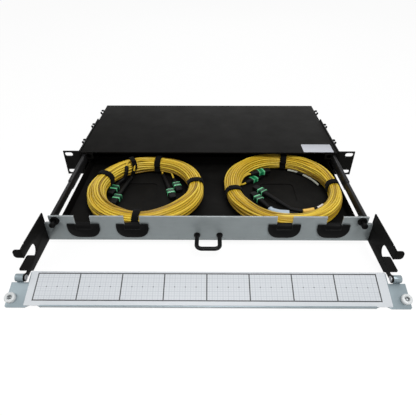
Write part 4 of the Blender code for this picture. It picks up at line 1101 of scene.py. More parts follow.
@dataclass
class Ring:
    """A coil's oval course, its section, and the packing of its turns.

    A turn is a point that travels in the section as the angle grows. The turns start on
    random neighbouring places and are then pushed apart, held in the section's outline
    and smoothed along the cable until they lie beside and on each other. The section is
    widest between straps. The first and last few points of a run stay where they start.
    """

    centre: tuple[float, float]
    across: float
    along: float
    turn: float
    width: float
    height: float
    lean: float
    rise: float
    straps: tuple[float, ...]
    seed: int
    runs: list[Run] = field(default_factory=list)
    bottom: float = 6.3
    squareness: float = 2.6
    cable: float = 3.0
    strap_reach: float = 6.0
    swell_length: float = 16.0
    swell_wide: float = 0.26
    swell_tall: float = 0.08
    pitch: float = 3.3
    rounds: int = 150
    last_rounds: int = 12
    held_points: int = 4
    push_share: float = 0.42

    def half_sizes(self, angle: Any) -> tuple[Array, Array]:
        """Half width and height of the section at angles in degrees.

        The width shrinks by the lean with the cosine, and the height grows by the rise with
        the sine. Both swell between straps, each by its own share of 1 less e to the minus
        square of the distance past a strap's edge over the swell's length.

        Args:
            angle: one angle or an array of them.

        Returns:
            The half widths and the half heights.
        """
        angle = np.asarray(angle, float)
        away = np.abs((angle[..., None] - np.array(self.straps) + 180) % 360 - 180).min(axis=-1)
        swell = 1 - np.exp(-((np.maximum(0, away - self.strap_reach) / self.swell_length) ** 2))
        turn = np.radians(angle)
        wide = self.width / 2 * (1 - self.lean * np.cos(turn)) * (1 + self.swell_wide * swell)
        tall = self.height / 2 * (1 + self.rise * np.sin(turn)) * (1 + self.swell_tall * swell)
        return wide, tall

    def outward(self, angle: Any) -> Array:
        """The way out of the oval in plan: the cosine and sine, each over its own diameter.

        Args:
            angle: one angle in degrees or an array of them.

        Returns:
            Unit vectors in X and Y.
        """
        turn = np.radians(np.asarray(angle, float))
        way = unit(np.stack([np.cos(turn) / self.across, np.sin(turn) / self.along], axis=-1))
        return way @ turn_matrix(self.turn)[:2, :2].T

    def at(self, angle: Any, across: Any, up: Any) -> Array:
        """Points of the ring from angles in degrees and places from the section's middle.

        Args:
            angle: one angle or an array of them.
            across: how far outwards each point lies.
            up: how far above the middle it lies.

        Returns:
            The points in the frame.
        """
        turn = np.radians(np.asarray(angle, float))
        oval = np.stack([self.across / 2 * np.cos(turn), self.along / 2 * np.sin(turn)], axis=-1)
        plan = oval @ turn_matrix(self.turn)[:2, :2].T + self.centre
        plan = plan + self.outward(angle) * np.asarray(across, float)[..., None]
        level = self.bottom + self.half_sizes(angle)[1] + np.asarray(up, float)
        level = np.broadcast_to(level, plan.shape[:-1])
        return np.concatenate([plan, level[..., None]], axis=-1)

    def beside(self, angle: float, share: float, height: float) -> Array:
        """A point by its angle, its share of the half width, and its height in the frame."""
        wide, tall = self.half_sizes(angle)
        return self.at(angle, share * wide, height - self.bottom - tall)

    def inside(self, angle: float, inset: float) -> tuple[float, float]:
        """A place in plan, an inset in from the coil's inner side."""
        spot = self.at(angle, -self.half_sizes(angle)[0] - inset, 0.0)
        return float(spot[0]), float(spot[1])

    def spot(self, angle: float, share: tuple[float, float]) -> Array:
        """A place in the section from shares of the half sizes that centre lines can reach."""
        return np.array(share) * (np.array(self.half_sizes(angle)) - self.cable / 2)

    def places(self, chance: np.random.Generator) -> Array:
        """Where turns start from: a lattice in the section, shuffled.

        Args:
            chance: the random generator.

        Returns:
            The lattice's points, shape (n, 2).
        """
        pitch, row_share, reach, slack = self.cable * 0.98, 0.87, 5, 1.12
        steps = range(-reach, reach + 1)
        grid = [(x * pitch + (row % 2) * pitch / 2, row * pitch * row_share) for row in steps for x in steps]
        spots = np.array(grid)
        sizes = np.array((self.width, self.height)) / 2 - self.cable / 2
        inside = (np.abs(spots / sizes) ** self.squareness).sum(axis=1) <= slack
        return chance.permutation(spots[inside])

    def wander(self) -> list[Array]:
        """First guess of every run's travel in the section, before packing.

        Returns:
            Each run's places in the section, shape (count, 2).
        """
        chance = np.random.default_rng(self.seed)
        free = list(map(tuple, self.places(chance)))
        trails = []
        for run in self.runs:
            here = self.spot(run.first, run.start)
            stops = [here]
            for _ in range(max(1, round(run.count / STATIONS)) - 1):
                gaps = [math.hypot(x - here[0], y - here[1]) + chance.uniform(0, 5.0) for x, y in free]
                here = np.array(free.pop(int(np.argmin(gaps)))) if free else here + chance.uniform(-2, 2, 2)
                stops.append(here)
            stops.append(self.spot(run.angles(run.count)[-1], run.end))
            at = np.linspace(0, len(stops) - 1, run.count)
            low = np.minimum(at.astype(int), len(stops) - 2)
            share = at - low
            share = share * share * (3 - 2 * share)
            line = np.array(stops)
            trails.append(line[low] + (line[low + 1] - line[low]) * share[:, None])
        return trails

    def pack(self) -> list[Array]:
        """Push the turns apart until they fill the section.

        Returns:
            Each run's places in the section, shape (count, 2).
        """
        trails = self.wander()
        counts_of_runs = [len(trail) for trail in trails]
        spots = np.vstack(trails)
        station = np.concatenate([
            (run.first * STATIONS // 360 + run.sense * np.arange(count)) % STATIONS
            for run, count in zip(self.runs, counts_of_runs)
        ])
        order = np.argsort(station, kind="stable")
        counts = np.bincount(station, minlength=STATIONS)
        slots = np.full((STATIONS, counts.max()), -1)
        rank = np.arange(len(order)) - np.repeat(np.cumsum(counts) - counts, counts)
        slots[station[order], rank] = order
        real = slots >= 0
        around = np.arange(STATIONS) * 360 / STATIONS
        wide, tall = (half - self.cable / 2 for half in self.half_sizes(around))
        ends = np.cumsum([0, *counts_of_runs])
        held = np.zeros(len(spots), bool)
        for first, last in zip(ends[:-1], ends[1:]):
            held[first:first + self.held_points] = True
            held[last - self.held_points:last] = True
        fixed = spots[held].copy()
        inner = np.ones(len(spots), bool)
        inner[ends[:-1]] = False
        inner[ends[1:] - 1] = False
        inner = np.flatnonzero(inner)
        for step in range(self.rounds):
            at = np.where(real[..., None], spots[slots], 1e3)
            gap = at[:, :, None] - at[:, None, :]
            far = np.linalg.norm(gap, axis=-1)
            near = (far < self.pitch) & real[:, :, None] & real[:, None, :]
            near &= ~np.eye(slots.shape[1], dtype=bool)
            share = np.where(near, (self.pitch - far) / np.maximum(far, 0.05), 0.0)
            push = (gap * share[..., None]).sum(axis=2) * self.push_share
            spots[slots[real]] += push[real]
            along = 0.5 * (spots[inner - 1] + spots[inner + 1]) - spots[inner]
            spots[inner] += along * (0.5 if step < self.rounds - self.last_rounds else 0.25)
            level = (np.abs(spots[:, 0] / wide[station]) ** self.squareness
                     + np.abs(spots[:, 1] / tall[station]) ** self.squareness)
            out = level > 1
            spots[out] *= (level[out] ** (-1 / self.squareness))[:, None]
            spots[held] = fixed
        return np.split(spots, ends[1:-1])

    def lines(self) -> list[Array]:
        """Each run's centre line in space.

        Returns:
            The points of each run, shape (count, 3).
        """
        made = []
        for run, spots in zip(self.runs, self.pack()):
            made.append(self.at(run.angles(len(spots)), spots[:, 0], spots[:, 1]))
        return made


@dataclass
class Connector:
    """A push-on connector lying along a heading: boot, green housing and dust cap.

    start is the boot's rear end in plan and height its middle line. Sections are ovals
    whose half sizes and squareness change along the connector.
    """

    name: str
    start: tuple[float, float]
    heading: float
    boot: float
    height: float = 8.55
    green: str = "green_body_painted_shade"
    steps: int = 32
    housing: float = 12.0
    rib_pitch: float = 3.2
    rib_rise: float = 0.28
    grips: int = 5
    grip_pitch: float = 1.6

    def tail(self) -> tuple[Array, Array]:
        """The boot's rear point, and the way that its cable leaves."""
        turn = math.radians(self.heading)
        return np.array([*self.start, self.height]), -np.array([math.cos(turn), math.sin(turn), 0.0])

    def section(self, stations: list[tuple[float, float, float, float]], finish: int) -> Surface:
        """A lofted part of the connector.

        Args:
            stations: rows of (distance, half width, half height, squareness).
            finish: which finish it takes.

        Returns:
            The surface in its place.
        """
        table = np.array(stations, float)
        across, up = superellipse(self.steps, column(table[:, 1]), column(table[:, 2]), column(table[:, 3]))
        points = np.stack([np.broadcast_to(column(table[:, 0]), across.shape), across, up], axis=-1)
        made = Surface(points, finish=finish)
        return made.moved(turn_matrix(self.heading), (*self.start, self.height))

    def block(
        self, span: tuple[float, float], sizes: tuple[float, float], finish: int, edge: float = 0.25
    ) -> Surface:
        """A nearly square length of housing, with a small slope at both ends.

        Args:
            span: distances from the cable's end to the block's two ends.
            sizes: its width and height.
            finish: which of the connector's finishes it has.
            edge: size of the slope.

        Returns:
            The surface.
        """
        start, end = span
        full, small = (*sizes, 7.0), (sizes[0] - edge, sizes[1] - edge, 7.0)
        rows = [(start, *small), (start + edge, *full), (end - edge, *full), (end, *small)]
        return self.section(rows, finish)

    def surfaces(self) -> list[Surface]:
        """Boot with ribs, collar, green housing between pale rims that paint the highlight on its edges, and
        the cap with its grip.

        Returns:
            The connector's surfaces, numbered by finish.
        """
        boot, end = self.boot, self.boot + self.housing
        ribs = max(4, int(boot / self.rib_pitch))
        at = np.linspace(1.0, boot - 1.5, ribs * 6)
        body = 2.45 + 0.95 * np.clip(at / (boot - 5), 0, 1)
        ridge = self.rib_rise * (np.sin(at * 2 * np.pi * ribs / (boot - 2.5)) > 0)
        rows = [(-0.2, 1.9, 1.9, 2.0), (0.2, 2.3, 2.3, 2.0)]
        rows += [(a, r + h, r + h, 2.2) for a, r, h in zip(at, body, ridge)]
        rows += [(boot + 0.6, 3.5, 3.5, 2.3)]
        collar = [
            (boot - 1.6, 3.6, 3.2, 3.0), (boot - 1.2, 4.4, 3.5, 4.0), (boot + 1.2, 5.4, 3.7, 5.0),
            (boot + 1.6, 5.2, 3.5, 5.0),
        ]
        cap = [(end - 2.2, 4.9, 2.8, 5.0), (end - 1.9, 5.3, 3.1, 6.0)]
        low, high = (5.3, 3.1, 6.0), (5.5, 3.3, 6.0)
        for grip in range(self.grips):
            spot = end - 0.6 + grip * self.grip_pitch
            cap += [(spot, *low), (spot + 0.15, *high), (spot + 0.85, *high), (spot + 1.0, *low)]
        cap += [(end + 8.6, *low), (end + 10.2, 5.0, 2.9, 5.0), (end + 11.0, 4.2, 2.3, 4.0)]
        # rim: the pale finish that paints the highlight on the housing's front and rear edges
        black, green, rim = range(3)
        return [
            self.section(rows, black), self.section(collar, black), self.section(cap, black),
            self.block((boot + 1.2, boot + 2.3), (6.15, 3.8), rim, 0.15),
            self.block((boot + 2.1, boot + 5.2), (5.95, 3.65), green),
            # the narrow black waist between the two green lengths is painted shade on the housing's middle
            self.block((boot + 5.0, boot + 6.2), (5.4, 3.2), black),
            self.block((boot + 6.0, boot + 9.0), (5.95, 3.65), green),
            self.block((boot + 8.8, boot + 11.2), (6.1, 3.75), rim),
        ]

    def build(self, shop: Workshop) -> bpy.types.Object:
        """Make the connector, which stands for its CAD node."""
        finishes = ["boot_rubber", self.green, "painted_highlight_green_rim"]
        return shop.piece(self.name + "_detail", self.surfaces(), finishes, Body.DRAWER, (self.name,))


@dataclass(frozen=True)
class Sleeve:
    """A tube round a cable: its stretch along the lead from the boot's rear, and its radius."""

    name: str
    start: float
    end: float
    radius: float
    finish: str
    stands_for: tuple[str, ...] = ()

    def build(self, shop: Workshop, line: Array) -> bpy.types.Object:
        """Carry an oval along the cable, drawn in at both ends.

        Args:
            shop: where the piece is made.
            line: the cable's samples from the lead's first one.

        Returns:
            The new piece.
        """
        run = lengths(line) - Lead.hidden
        row_pitch, lip = 1.6, 0.35
        at = np.linspace(self.start, self.end, max(6, int((self.end - self.start) / row_pitch)))
        at = np.concatenate([[at[0], at[0] + lip], at[1:-1], [at[-1] - lip, at[-1]]])
        path = np.stack([np.interp(at, run, line[:, k]) for k in range(3)], axis=1)
        tube = sleeve_tube(path, self.radius, 0.82, 20, 2.15)
        return shop.piece(self.name, [tube], [self.finish], Body.DRAWER, self.stands_for)


@dataclass(frozen=True)
class EdgeSleeve:
    """A sleeve on the lowest turn along a coil's inner edge, between two angles."""

    name: str
    first: float
    last: float
    radius: float
    finish: str

    def build(self, shop: Workshop, ring: Ring) -> bpy.types.Object:
        """Carry a round tube along the coil's inner edge, level with the coil's underside.

        Args:
            shop: where the piece is made.
            ring: the coil that the sleeve lies in.

        Returns:
            The new piece.
        """
        half_wide, half_tall = ring.half_sizes(self.first)
        inward, level = self.radius * 0.4 - half_wide, self.radius - half_tall
        at = np.linspace(self.first, self.last, 14)
        at = np.concatenate([[at[0], at[0] + 0.02 * (at[1] - at[0])], at[1:]])
        tube = sleeve_tube(ring.at(at, np.full(len(at), inward), level), self.radius, 0.85, 14, 2.0)
        return shop.piece(self.name, [tube], [self.finish], Body.DRAWER)


@dataclass
class Lead:
    """The free length from a connector's boot to where it joins its ring.

    The places between are points of the frame. The first hidden millimetres lie in the boot.
    """

    connector: Connector
    over: tuple[Any, ...] = ()
    sleeves: tuple[Sleeve, ...] = ()
    straight: float = 5.0
    hidden: ClassVar[float] = 4.0
    sample: ClassVar[float] = 3.0

    def points(self, line: Array) -> Array:
        """Samples from inside the boot to just before the run's first point.

        Args:
            line: the run's points in order from where this lead joins it.

        Returns:
            The samples.
        """
        rear, way = self.connector.tail()
        places = [rear - way * self.hidden, rear, rear + way * self.straight]
        places += [np.array(p, float) for p in self.over]
        places += [line[0], line[1]]
        smooth = spline(np.array(places), self.sample)
        stop = np.argmin(np.linalg.norm(smooth - line[0], axis=1))
        return smooth[:stop]


@dataclass
class Cord:
    """One cable, from a connector through its ring to another connector."""

    name: str
    first: Lead
    last: Lead
    runs: tuple[int, ...]
    extra: tuple[str, ...] = ()

    def core(self, lines: list[Array]) -> Array:
        """The part in the ring: its runs, with a half circle from each one's end to the next.

        Args:
            lines: the centre lines of the ring's runs.

        Returns:
            The points in order.
        """
        parts = [lines[self.runs[0]]]
        for number in self.runs[1:]:
            follow = lines[number]
            here, there = parts[-1][-1], follow[0]
            ahead = unit(parts[-1][-1] - parts[-1][-2])
            half = (there - here) / 2
            reach = np.linalg.norm(half)
            turn = np.linspace(0, np.pi, 13)[1:-1, None]
            parts.append((here + there) / 2 - half * np.cos(turn) + ahead * reach * np.sin(turn))
            parts.append(follow)
        return np.vstack(parts)


@dataclass(frozen=True)
class Tie:
    """A narrow strap round a few turns: its angle, its middle and its half sizes in the section."""

    angle: float
    middle: tuple[float, float]
    sizes: tuple[float, float]
    width: float


@dataclass
class CableCoil:
    """A coil with its straps, cables and connectors."""

    side: Side
    ring: Ring
    cords: list[Cord]
    ties: tuple[Tie, ...] = ()
    edges: tuple[EdgeSleeve, ...] = ()
    strap_width: float = 10.0
    tape: float = 0.9
    stand_off: float = 0.25
    overlap: float = 2.0
    sleeved_points: int = 60

    def build_cord(self, shop: Workshop, cord: Cord, lines: list[Array]) -> None:
        """Args:
            shop: where the pieces are made.
            cord: the cable.
            lines: the centre lines of the ring's runs.
        """
        core = cord.core(lines)
        head, foot = cord.first.points(core), cord.last.points(core[::-1])
        path = np.vstack([head, core, foot[::-1]])
        across, up = superellipse(10, self.ring.cable / 2, self.ring.cable / 2)
        stands = ("coil_" + self.side.name.lower(), *cord.extra)
        made = shop.piece(cord.name, [loft(path, across, up)], ["yellow_jacket"], Body.DRAWER, stands)
        ends = []
        for lead, line in ((cord.first, path), (cord.last, path[::-1])):
            ends.append(lead.connector.build(shop))
            ends += [sleeve.build(shop, line[:self.sleeved_points]) for sleeve in lead.sleeves]

    def build(self, shop: Workshop) -> None:
        """Make the cables, the straps and ties round them, and the sleeves at the edge.

        Args:
            shop: where the pieces are made.
        """
        name = self.side.name.lower()
        lines = self.ring.lines()
        for cord in self.cords:
            self.build_cord(shop, cord, lines)
        for number, angle in enumerate(self.ring.straps, 1):
            strap = Tie(angle, (0.0, 0.0), tuple(map(float, self.ring.half_sizes(angle))), self.strap_width)
            self.build_strap(shop, f"strap_{name}_{number}", strap, (f"strap_{name}_{number}",))
        for number, tie in enumerate(self.ties, 1):
            self.build_strap(shop, f"tie_{name}_{number}", tie)
        for edge in self.edges:
            edge.build(shop, self.ring)

    def band_line(self, tie: Tie, turns: Array, grow: Any) -> Array:
        """Places round a tie's section, grown outwards.

        Args:
            tie: the strap.
            turns: angles round the section in radians.
            grow: how far outside the section.

        Returns:
            The points in space.
        """
        c, s = np.cos(turns), np.sin(turns)
        power = 2 / self.ring.squareness
        across = tie.middle[0] + np.sign(c) * np.abs(c) ** power * (tie.sizes[0] + grow)
        up = tie.middle[1] + np.sign(s) * np.abs(s) ** power * (tie.sizes[1] + grow)
        return self.ring.at(tie.angle, across, up)

    def build_strap(self, shop: Workshop, name: str, tie: Tie, stands_for: tuple[str, ...] = ()) -> None:
        """A band round turns, whose end overlaps it on the outer side.

        The band's middle line follows the section a little outside it. The end is a second
        layer that lifts off slightly and stops square. Where it starts is picked by the
        sine of the strap's angle, so that the straps differ.

        Args:
            shop: where the piece is made.
            name: the strap's name.
            tie: its place and sizes.
            stands_for: CAD nodes that it stands for.
        """
        out = self.ring.outward(tie.angle)
        ahead = np.array([-out[1], out[0], 0.0])
        across, up = superellipse(20, tie.width / 2, self.tape / 2, 5.0)
        around = np.linspace(0, 2 * np.pi, 96, endpoint=False)
        middle = self.band_line(tie, around, self.stand_off + self.tape / 2)
        band = loft(middle, across, up, side=ahead, looped=True)
        start, rows, lifted = 0.15 + 0.9 * abs(math.sin(tie.angle * 1.7)), 44, 0.3
        over = np.linspace(start, start + self.overlap, rows)
        rise = np.clip((over - start - self.overlap + lifted) / lifted, 0, 1) ** 2
        second = self.band_line(tie, over, self.stand_off + 1.5 * self.tape + 0.12 + 1.1 * rise)
        narrow = np.where((over > start + 0.05) & (over < start + self.overlap - 0.07), 1.0, 0.86)
        end = loft(second, across * column(narrow) * 0.96, up * np.ones((rows, 1)), side=ahead)
        shop.piece(name + "_tape", [band, end], ["loop_tape"], Body.DRAWER, stands_for)


@dataclass
class SmallFittings:
    """Handle, latches, pins, bumpers, cover label and screws.

    Profiles of turned pieces are rows of a place along the axis and a radius there.
    """

    latch_x: float = 199.7
    latch_z: float = 34.6
    face_front: float = -173.7
    face_rear: float = -171.7
    cover_top: float = 42.4
    handle_half: float = 15.0
    handle_bend: float = 7.0
    handle_reach: float = 27.0
    handle_z: float = 10.4
    handle_radius: float = 2.8
    bush_front: float = 2.5
    bush_rear: float = 8.0
    plunger_reach: float = 12.4
    pin_inner: float = 215.0
    pin_end: float = 227.4
    bumper_x: float = 227.5
    bumper_y: float = -24.2
    bumper_z: float = -2.8
    label_size: tuple[float, float] = (49.4, 27.6)
    label_corner: float = 1.2
    label_centre: tuple[float, float] = (181.8, 12.7)
    label_thickness: float = 0.12
    ear_screw_x: float = 215.3
    rail_screw_x: float = 213.0
    rear_screw_y: float = 202.5

    def screw(self, axis: Axis, centre: Any, radius: float, height: float, out: int = 1) -> Surface:
        """A pan head with a cross recess, standing along an axis.

        The height falls from a dome's top to its rim, less a recess where the place lies
        in one of the two arms of the cross.

        Args:
            axis: the way that it stands.
            centre: middle of its underside.
            radius: of the head.
            height: of the head.
            out: which way along the axis it stands, +1 or -1.

        Returns:
            The surface.
        """
        steps, arm_width, arm_reach, arm_depth, sunk = 48, 0.11, 0.52, 0.45, 0.1
        rings = column([0.02, 0.1, 0.18, 0.26, 0.34, 0.42, 0.5, 0.58, 0.7, 0.82, 0.92, 0.98, 1.0])
        turn = np.linspace(0, 2 * np.pi, steps, endpoint=False)
        u, v = np.abs(rings * np.cos(turn)), np.abs(rings * np.sin(turn))
        dome = height * (1 - 0.35 * rings ** 2 - 0.65 * np.clip((rings - 0.8) / 0.2, 0, 1) ** 2.2)
        arms = (np.minimum(u, v) < arm_width) & (np.maximum(u, v) < arm_reach)
        level = np.vstack([dome - arms * height * arm_depth, np.full((1, steps), -sunk)])
        rim = np.vstack([rings, [[1.0]]])
        ahead, first, second = (np.array(a, float) for a in axis.value)
        points = level[..., None] * ahead * out
        points = points + (rim * np.cos(turn))[..., None] * first * radius
        points = points + (rim * np.sin(turn))[..., None] * second * radius
        return Surface(points + np.asarray(centre, float))

    def build_handle(self, shop: Workshop) -> None:
        """A round bow: straight legs, round bends, and a small flange at each foot.

        Args:
            shop: where the pieces are made.
        """
        half, bend = self.handle_half, self.handle_bend
        front, root = self.face_front - self.handle_reach, self.face_front - 0.05
        right = arc((half - bend, front + bend), bend, 0, -90, 14)
        left = arc((-half + bend, front + bend), bend, -90, -180, 14)
        plan = np.vstack([[(half, root)], right, left, [(-half, root)]])
        path = np.column_stack([plan, np.full(len(plan), self.handle_z)])
        bow = loft(path, *superellipse(28, self.handle_radius, self.handle_radius))
        flange = [(-1.6, 3.0), (-1.4, 4.1), (-0.2, 4.4), (-0.02, 4.4)]
        feet = [turned(flange, Axis.Y, (x, self.face_front, self.handle_z)) for x in (-half, half)]
        shop.piece("handle_bow", [bow, *feet], ["handle_coat"], Body.DRAWER, ("pull_handle",))

    def build_latches(self, shop: Workshop) -> None:
        """Each latch: a flanged bush, and a plunger with a round head that slides in it.

        Args:
            shop: where the pieces are made.
        """
        for side in Side:
            name = side.name.lower()
            centre = (side.value * self.latch_x, 0.0, self.latch_z)
            seat, front = self.face_front - 0.3, self.face_front - self.bush_front
            rear = self.face_rear + self.bush_rear
            bush = [
                (rear, 2.55), (rear - 0.1, 3.0), (rear - 1.5, 3.8), (seat, 3.8), (seat + 0.02, 6.0),
                (front + 0.8, 6.0), (front + 0.25, 5.8), (front, 5.3), (front, 2.9), (front + 0.5, 2.5),
                (rear - 0.6, 2.5),
            ]
            ring = turned(bush, Axis.Y, centre)
            ring.looped = True
            shop.piece(name + "_latch_ring", [ring], ["black_nylon"], Body.DRAWER, (name + "_latch_bush",))
            tip = self.face_front - self.plunger_reach
            plunger = [
                (tip, 0.05), (tip, 2.9), (tip + 0.3, 3.5), (tip + 1.0, 4.0), (tip + 3.2, 4.0),
                (tip + 3.8, 3.6), (tip + 4.0, 2.2), (rear - 2.0, 2.2), (rear - 0.4, 1.4), (rear, 0.05),
            ]
            body = Body.LEFT_PLUNGER if side is Side.LEFT else Body.RIGHT_PLUNGER
            knob = turned(plunger, Axis.Y, centre)
            shop.piece(name + "_latch_knob", [knob], ["black_nylon"], body, (name + "_latch_plunger",))

    def build_hinges(self, shop: Workshop) -> None:
        """Headed pins, with a domed head inside the arm.

        Args:
            shop: where the pieces are made.
        """
        inner, end = self.pin_inner, self.pin_end
        profile = [
            (inner - 1.2, 0.05), (inner - 1.2, 1.6), (inner - 0.9, 2.9), (inner - 0.3, 3.5), (inner, 3.5),
            (inner + 0.01, 2.0), (end - 0.6, 2.0), (end - 0.1, 1.5), (end, 0.05),
        ]
        for side in Side:
            name = side.name.lower()
            pin = turned([(side.value * x, radius) for x, radius in profile], Axis.X, (0, *HINGE_LINE))
            shop.piece(name + "_pivot_pin", [pin], ["bright_steel"], Body.DRAWER, (name + "_hinge_pin",))

    def on_door(self, surface: Surface) -> Surface:
        """A surface drawn flat about the hinge line, laid on the open door."""
        return surface.moved(turn_matrix(DOOR_DROOP, "X"), (0, *HINGE_LINE))

    def build_bumpers(self, shop: Workshop) -> None:
        """White bumpers with a dished top, each held by a steel screw.

        Args:
            shop: where the pieces are made.
        """
        bottom, seat = self.bumper_z, self.bumper_z + 3.3
        dish = [
            (bottom, 0.05), (bottom, 6.25), (bottom + 2.9, 6.2), (bottom + 3.6, 5.9), (bottom + 4.0, 5.2),
            (bottom + 4.0, 3.6), (bottom + 3.4, 3.2), (seat, 0.05),
        ]
        for side in Side:
            x = side.value * self.bumper_x
            base = self.on_door(turned(dish, Axis.Z, (x, self.bumper_y, 0.0)))
            head = self.on_door(self.screw(Axis.Z, (x, self.bumper_y, seat), 2.75, 1.3))
            head.finish = 1
            name, finishes = side.name.lower(), ["white_nylon", "dull_steel"]
            shop.piece(name + "_bumper_disc", [base, head], finishes, Body.DOOR, (name + "_door_bumper",))

    def build_label(self, shop: Workshop) -> None:
        """The blank white label on the cover.

        Args:
            shop: where the pieces are made.
        """
        outline = rounded_outline(*self.label_size, self.label_corner)
        sheet = slab(outline, 0.0, self.label_thickness, 0.03)
        label = sheet.moved(np.eye(3), (*self.label_centre, self.cover_top + 0.02))
        shop.piece("cover_label", [label], ["label_paper"], Body.CHASSIS)

    def build_screws(self, shop: Workshop) -> None:
        """Screw heads on the ears' long flanges, the cover's rear fold and the rails.

        Args:
            shop: where the pieces are made.
        """
        heads = []
        for side in Side:
            on_ear = [(self.ear_screw_x, y, z) for y in (18.0, 90.0) for z in (12.0, 34.0)]
            on_rail = [(self.rail_screw_x, y, 12.0) for y in (145.0, 192.0)]
            for x, y, z in on_ear + on_rail:
                heads.append(self.screw(Axis.X, (side.value * x, y, z), 3.0, 1.5, side.value))
        for x in (-150.0, 0.0, 150.0):
            heads.append(self.screw(Axis.Y, (x, self.rear_screw_y, 36.5), 2.8, 1.4))
        shop.piece("chassis_screws", heads, ["black_nylon"], Body.CHASSIS)

    def build(self, shop: Workshop) -> None:
        """Make every group of fittings in order.

        Args:
            shop: where the pieces are made.
        """
        for make in (
            self.build_handle, self.build_latches, self.build_hinges, self.build_bumpers, self.build_label,
            self.build_screws,
        ):
            make(shop)


@dataclass(frozen=True)
class Lamp:
    """A square soft lamp that faces a target."""

    name: str
    place: tuple[float, float, float]
    target: tuple[float, float, float]
    size: float
    power: float

    def build(self) -> None:
        """Place the lamp in the scene."""
        data = bpy.data.lights.new(self.name, "AREA")
        data.size = self.size
        data.energy = self.power
        made = bpy.data.objects.new(self.name, data)
        bpy.context.scene.collection.objects.link(made)
        made.location = self.place
        way = np.array(self.target) - np.array(self.place)
        flat = math.hypot(way[0], way[1])
        made.rotation_euler = (math.atan2(flat, -way[2]), 0.0, math.atan2(way[1], way[0]) - math.pi / 2)


@dataclass
class Stage:
    """Camera, lights, floor and background."""

    place: tuple[float, float, float] = (0.00178, -0.5587, 0.3416)
    tilt: float = 53.367
    swing: float = 0.324
    lens: float = 32.77
    sensor: float = 36.0
    world_strength: float = 0.28
    floor_reach: float = 12.0
    floor_paint: float = 0.86
    floor_glow: float = 1.02
    floor_share: float = 0.92
    lamps: tuple[Lamp, ...] = (
        Lamp("key", (0.35, -0.75, 1.25), (0.0, -0.05, 0.0), 0.6, 16.0),
        Lamp("fill", (-0.95, -0.45, 0.8), (0.0, -0.1, 0.0), 0.8, 3.5),
        Lamp("rear", (0.1, 1.1, 1.0), (0.0, 0.0, 0.0), 0.9, 4.0),
    )

    def build_camera(self) -> None:
        """The camera that the photograph was solved for."""
        data = bpy.data.cameras.new("camera")
        data.lens = self.lens
        data.sensor_width = self.sensor
        data.clip_start = 0.01
        made = bpy.data.objects.new("camera", data)
        bpy.context.scene.collection.objects.link(made)
        made.location = self.place
        made.rotation_euler = (math.radians(self.tilt), 0.0, math.radians(self.swing))
        bpy.context.scene.camera = made

    def build_lights(self) -> None:
        """Soft lamps from above in front and from both sides, and a white surround."""
        for lamp in self.lamps:
            lamp.build()
        world = bpy.data.worlds.new("surround")
        world.use_nodes = True
        bpy.context.scene.world = world
        graph = Graph(world.node_tree)
        sky = world.node_tree.nodes["Background"]
        sky.inputs["Color"].default_value = (1.0, 1.0, 1.0, 1.0)
        strength = graph.spread(graph.straight_view(), 0.0, 1.0, self.world_strength, 1.0)
        graph.tree.links.new(strength, sky.inputs["Strength"])
        bpy.context.scene.view_settings.view_transform = "Standard"

    def build_floor(self, level: float) -> None:
        """A wide pale floor that shows white and keeps a soft shadow.

        Args:
            level: its height, the lowest point of the CAD frame in metres.
        """
        mesh = bpy.data.meshes.new("floor")
        reach, grey = self.floor_reach, self.floor_paint
        corners = [(x * reach, y * reach, level) for x, y in ((-1, -1), (1, -1), (1, 1), (-1, 1))]
        mesh.from_pydata(corners, [], [(0, 1, 2, 3)])
        made = bpy.data.objects.new("floor", mesh)
        bpy.context.scene.collection.objects.link(made)
        paint = bpy.data.materials.new("floor_white")
        paint.use_nodes = True
        graph = Graph(paint.node_tree)
        out = paint.node_tree.nodes["Material Output"]
        paint.node_tree.nodes.remove(paint.node_tree.nodes["Principled BSDF"])
        matt = graph.node("ShaderNodeBsdfDiffuse", {"Color": (grey, grey, grey, 1.0)})
        glow = graph.node("ShaderNodeEmission", {"Color": (1.0, 1.0, 1.0, 1.0), "Strength": self.floor_glow})
        share = graph.sum("MULTIPLY", graph.straight_view(), self.floor_share)
        mixed = graph.node("ShaderNodeMixShader", {0: share, 1: matt.outputs[0], 2: glow.outputs[0]})
        graph.tree.links.new(mixed.outputs[0], out.inputs["Surface"])
        mesh.materials.append(paint)
        made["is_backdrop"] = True


# The coils' layout: places in millimetres, angles in degrees, ends of runs as shares of the section


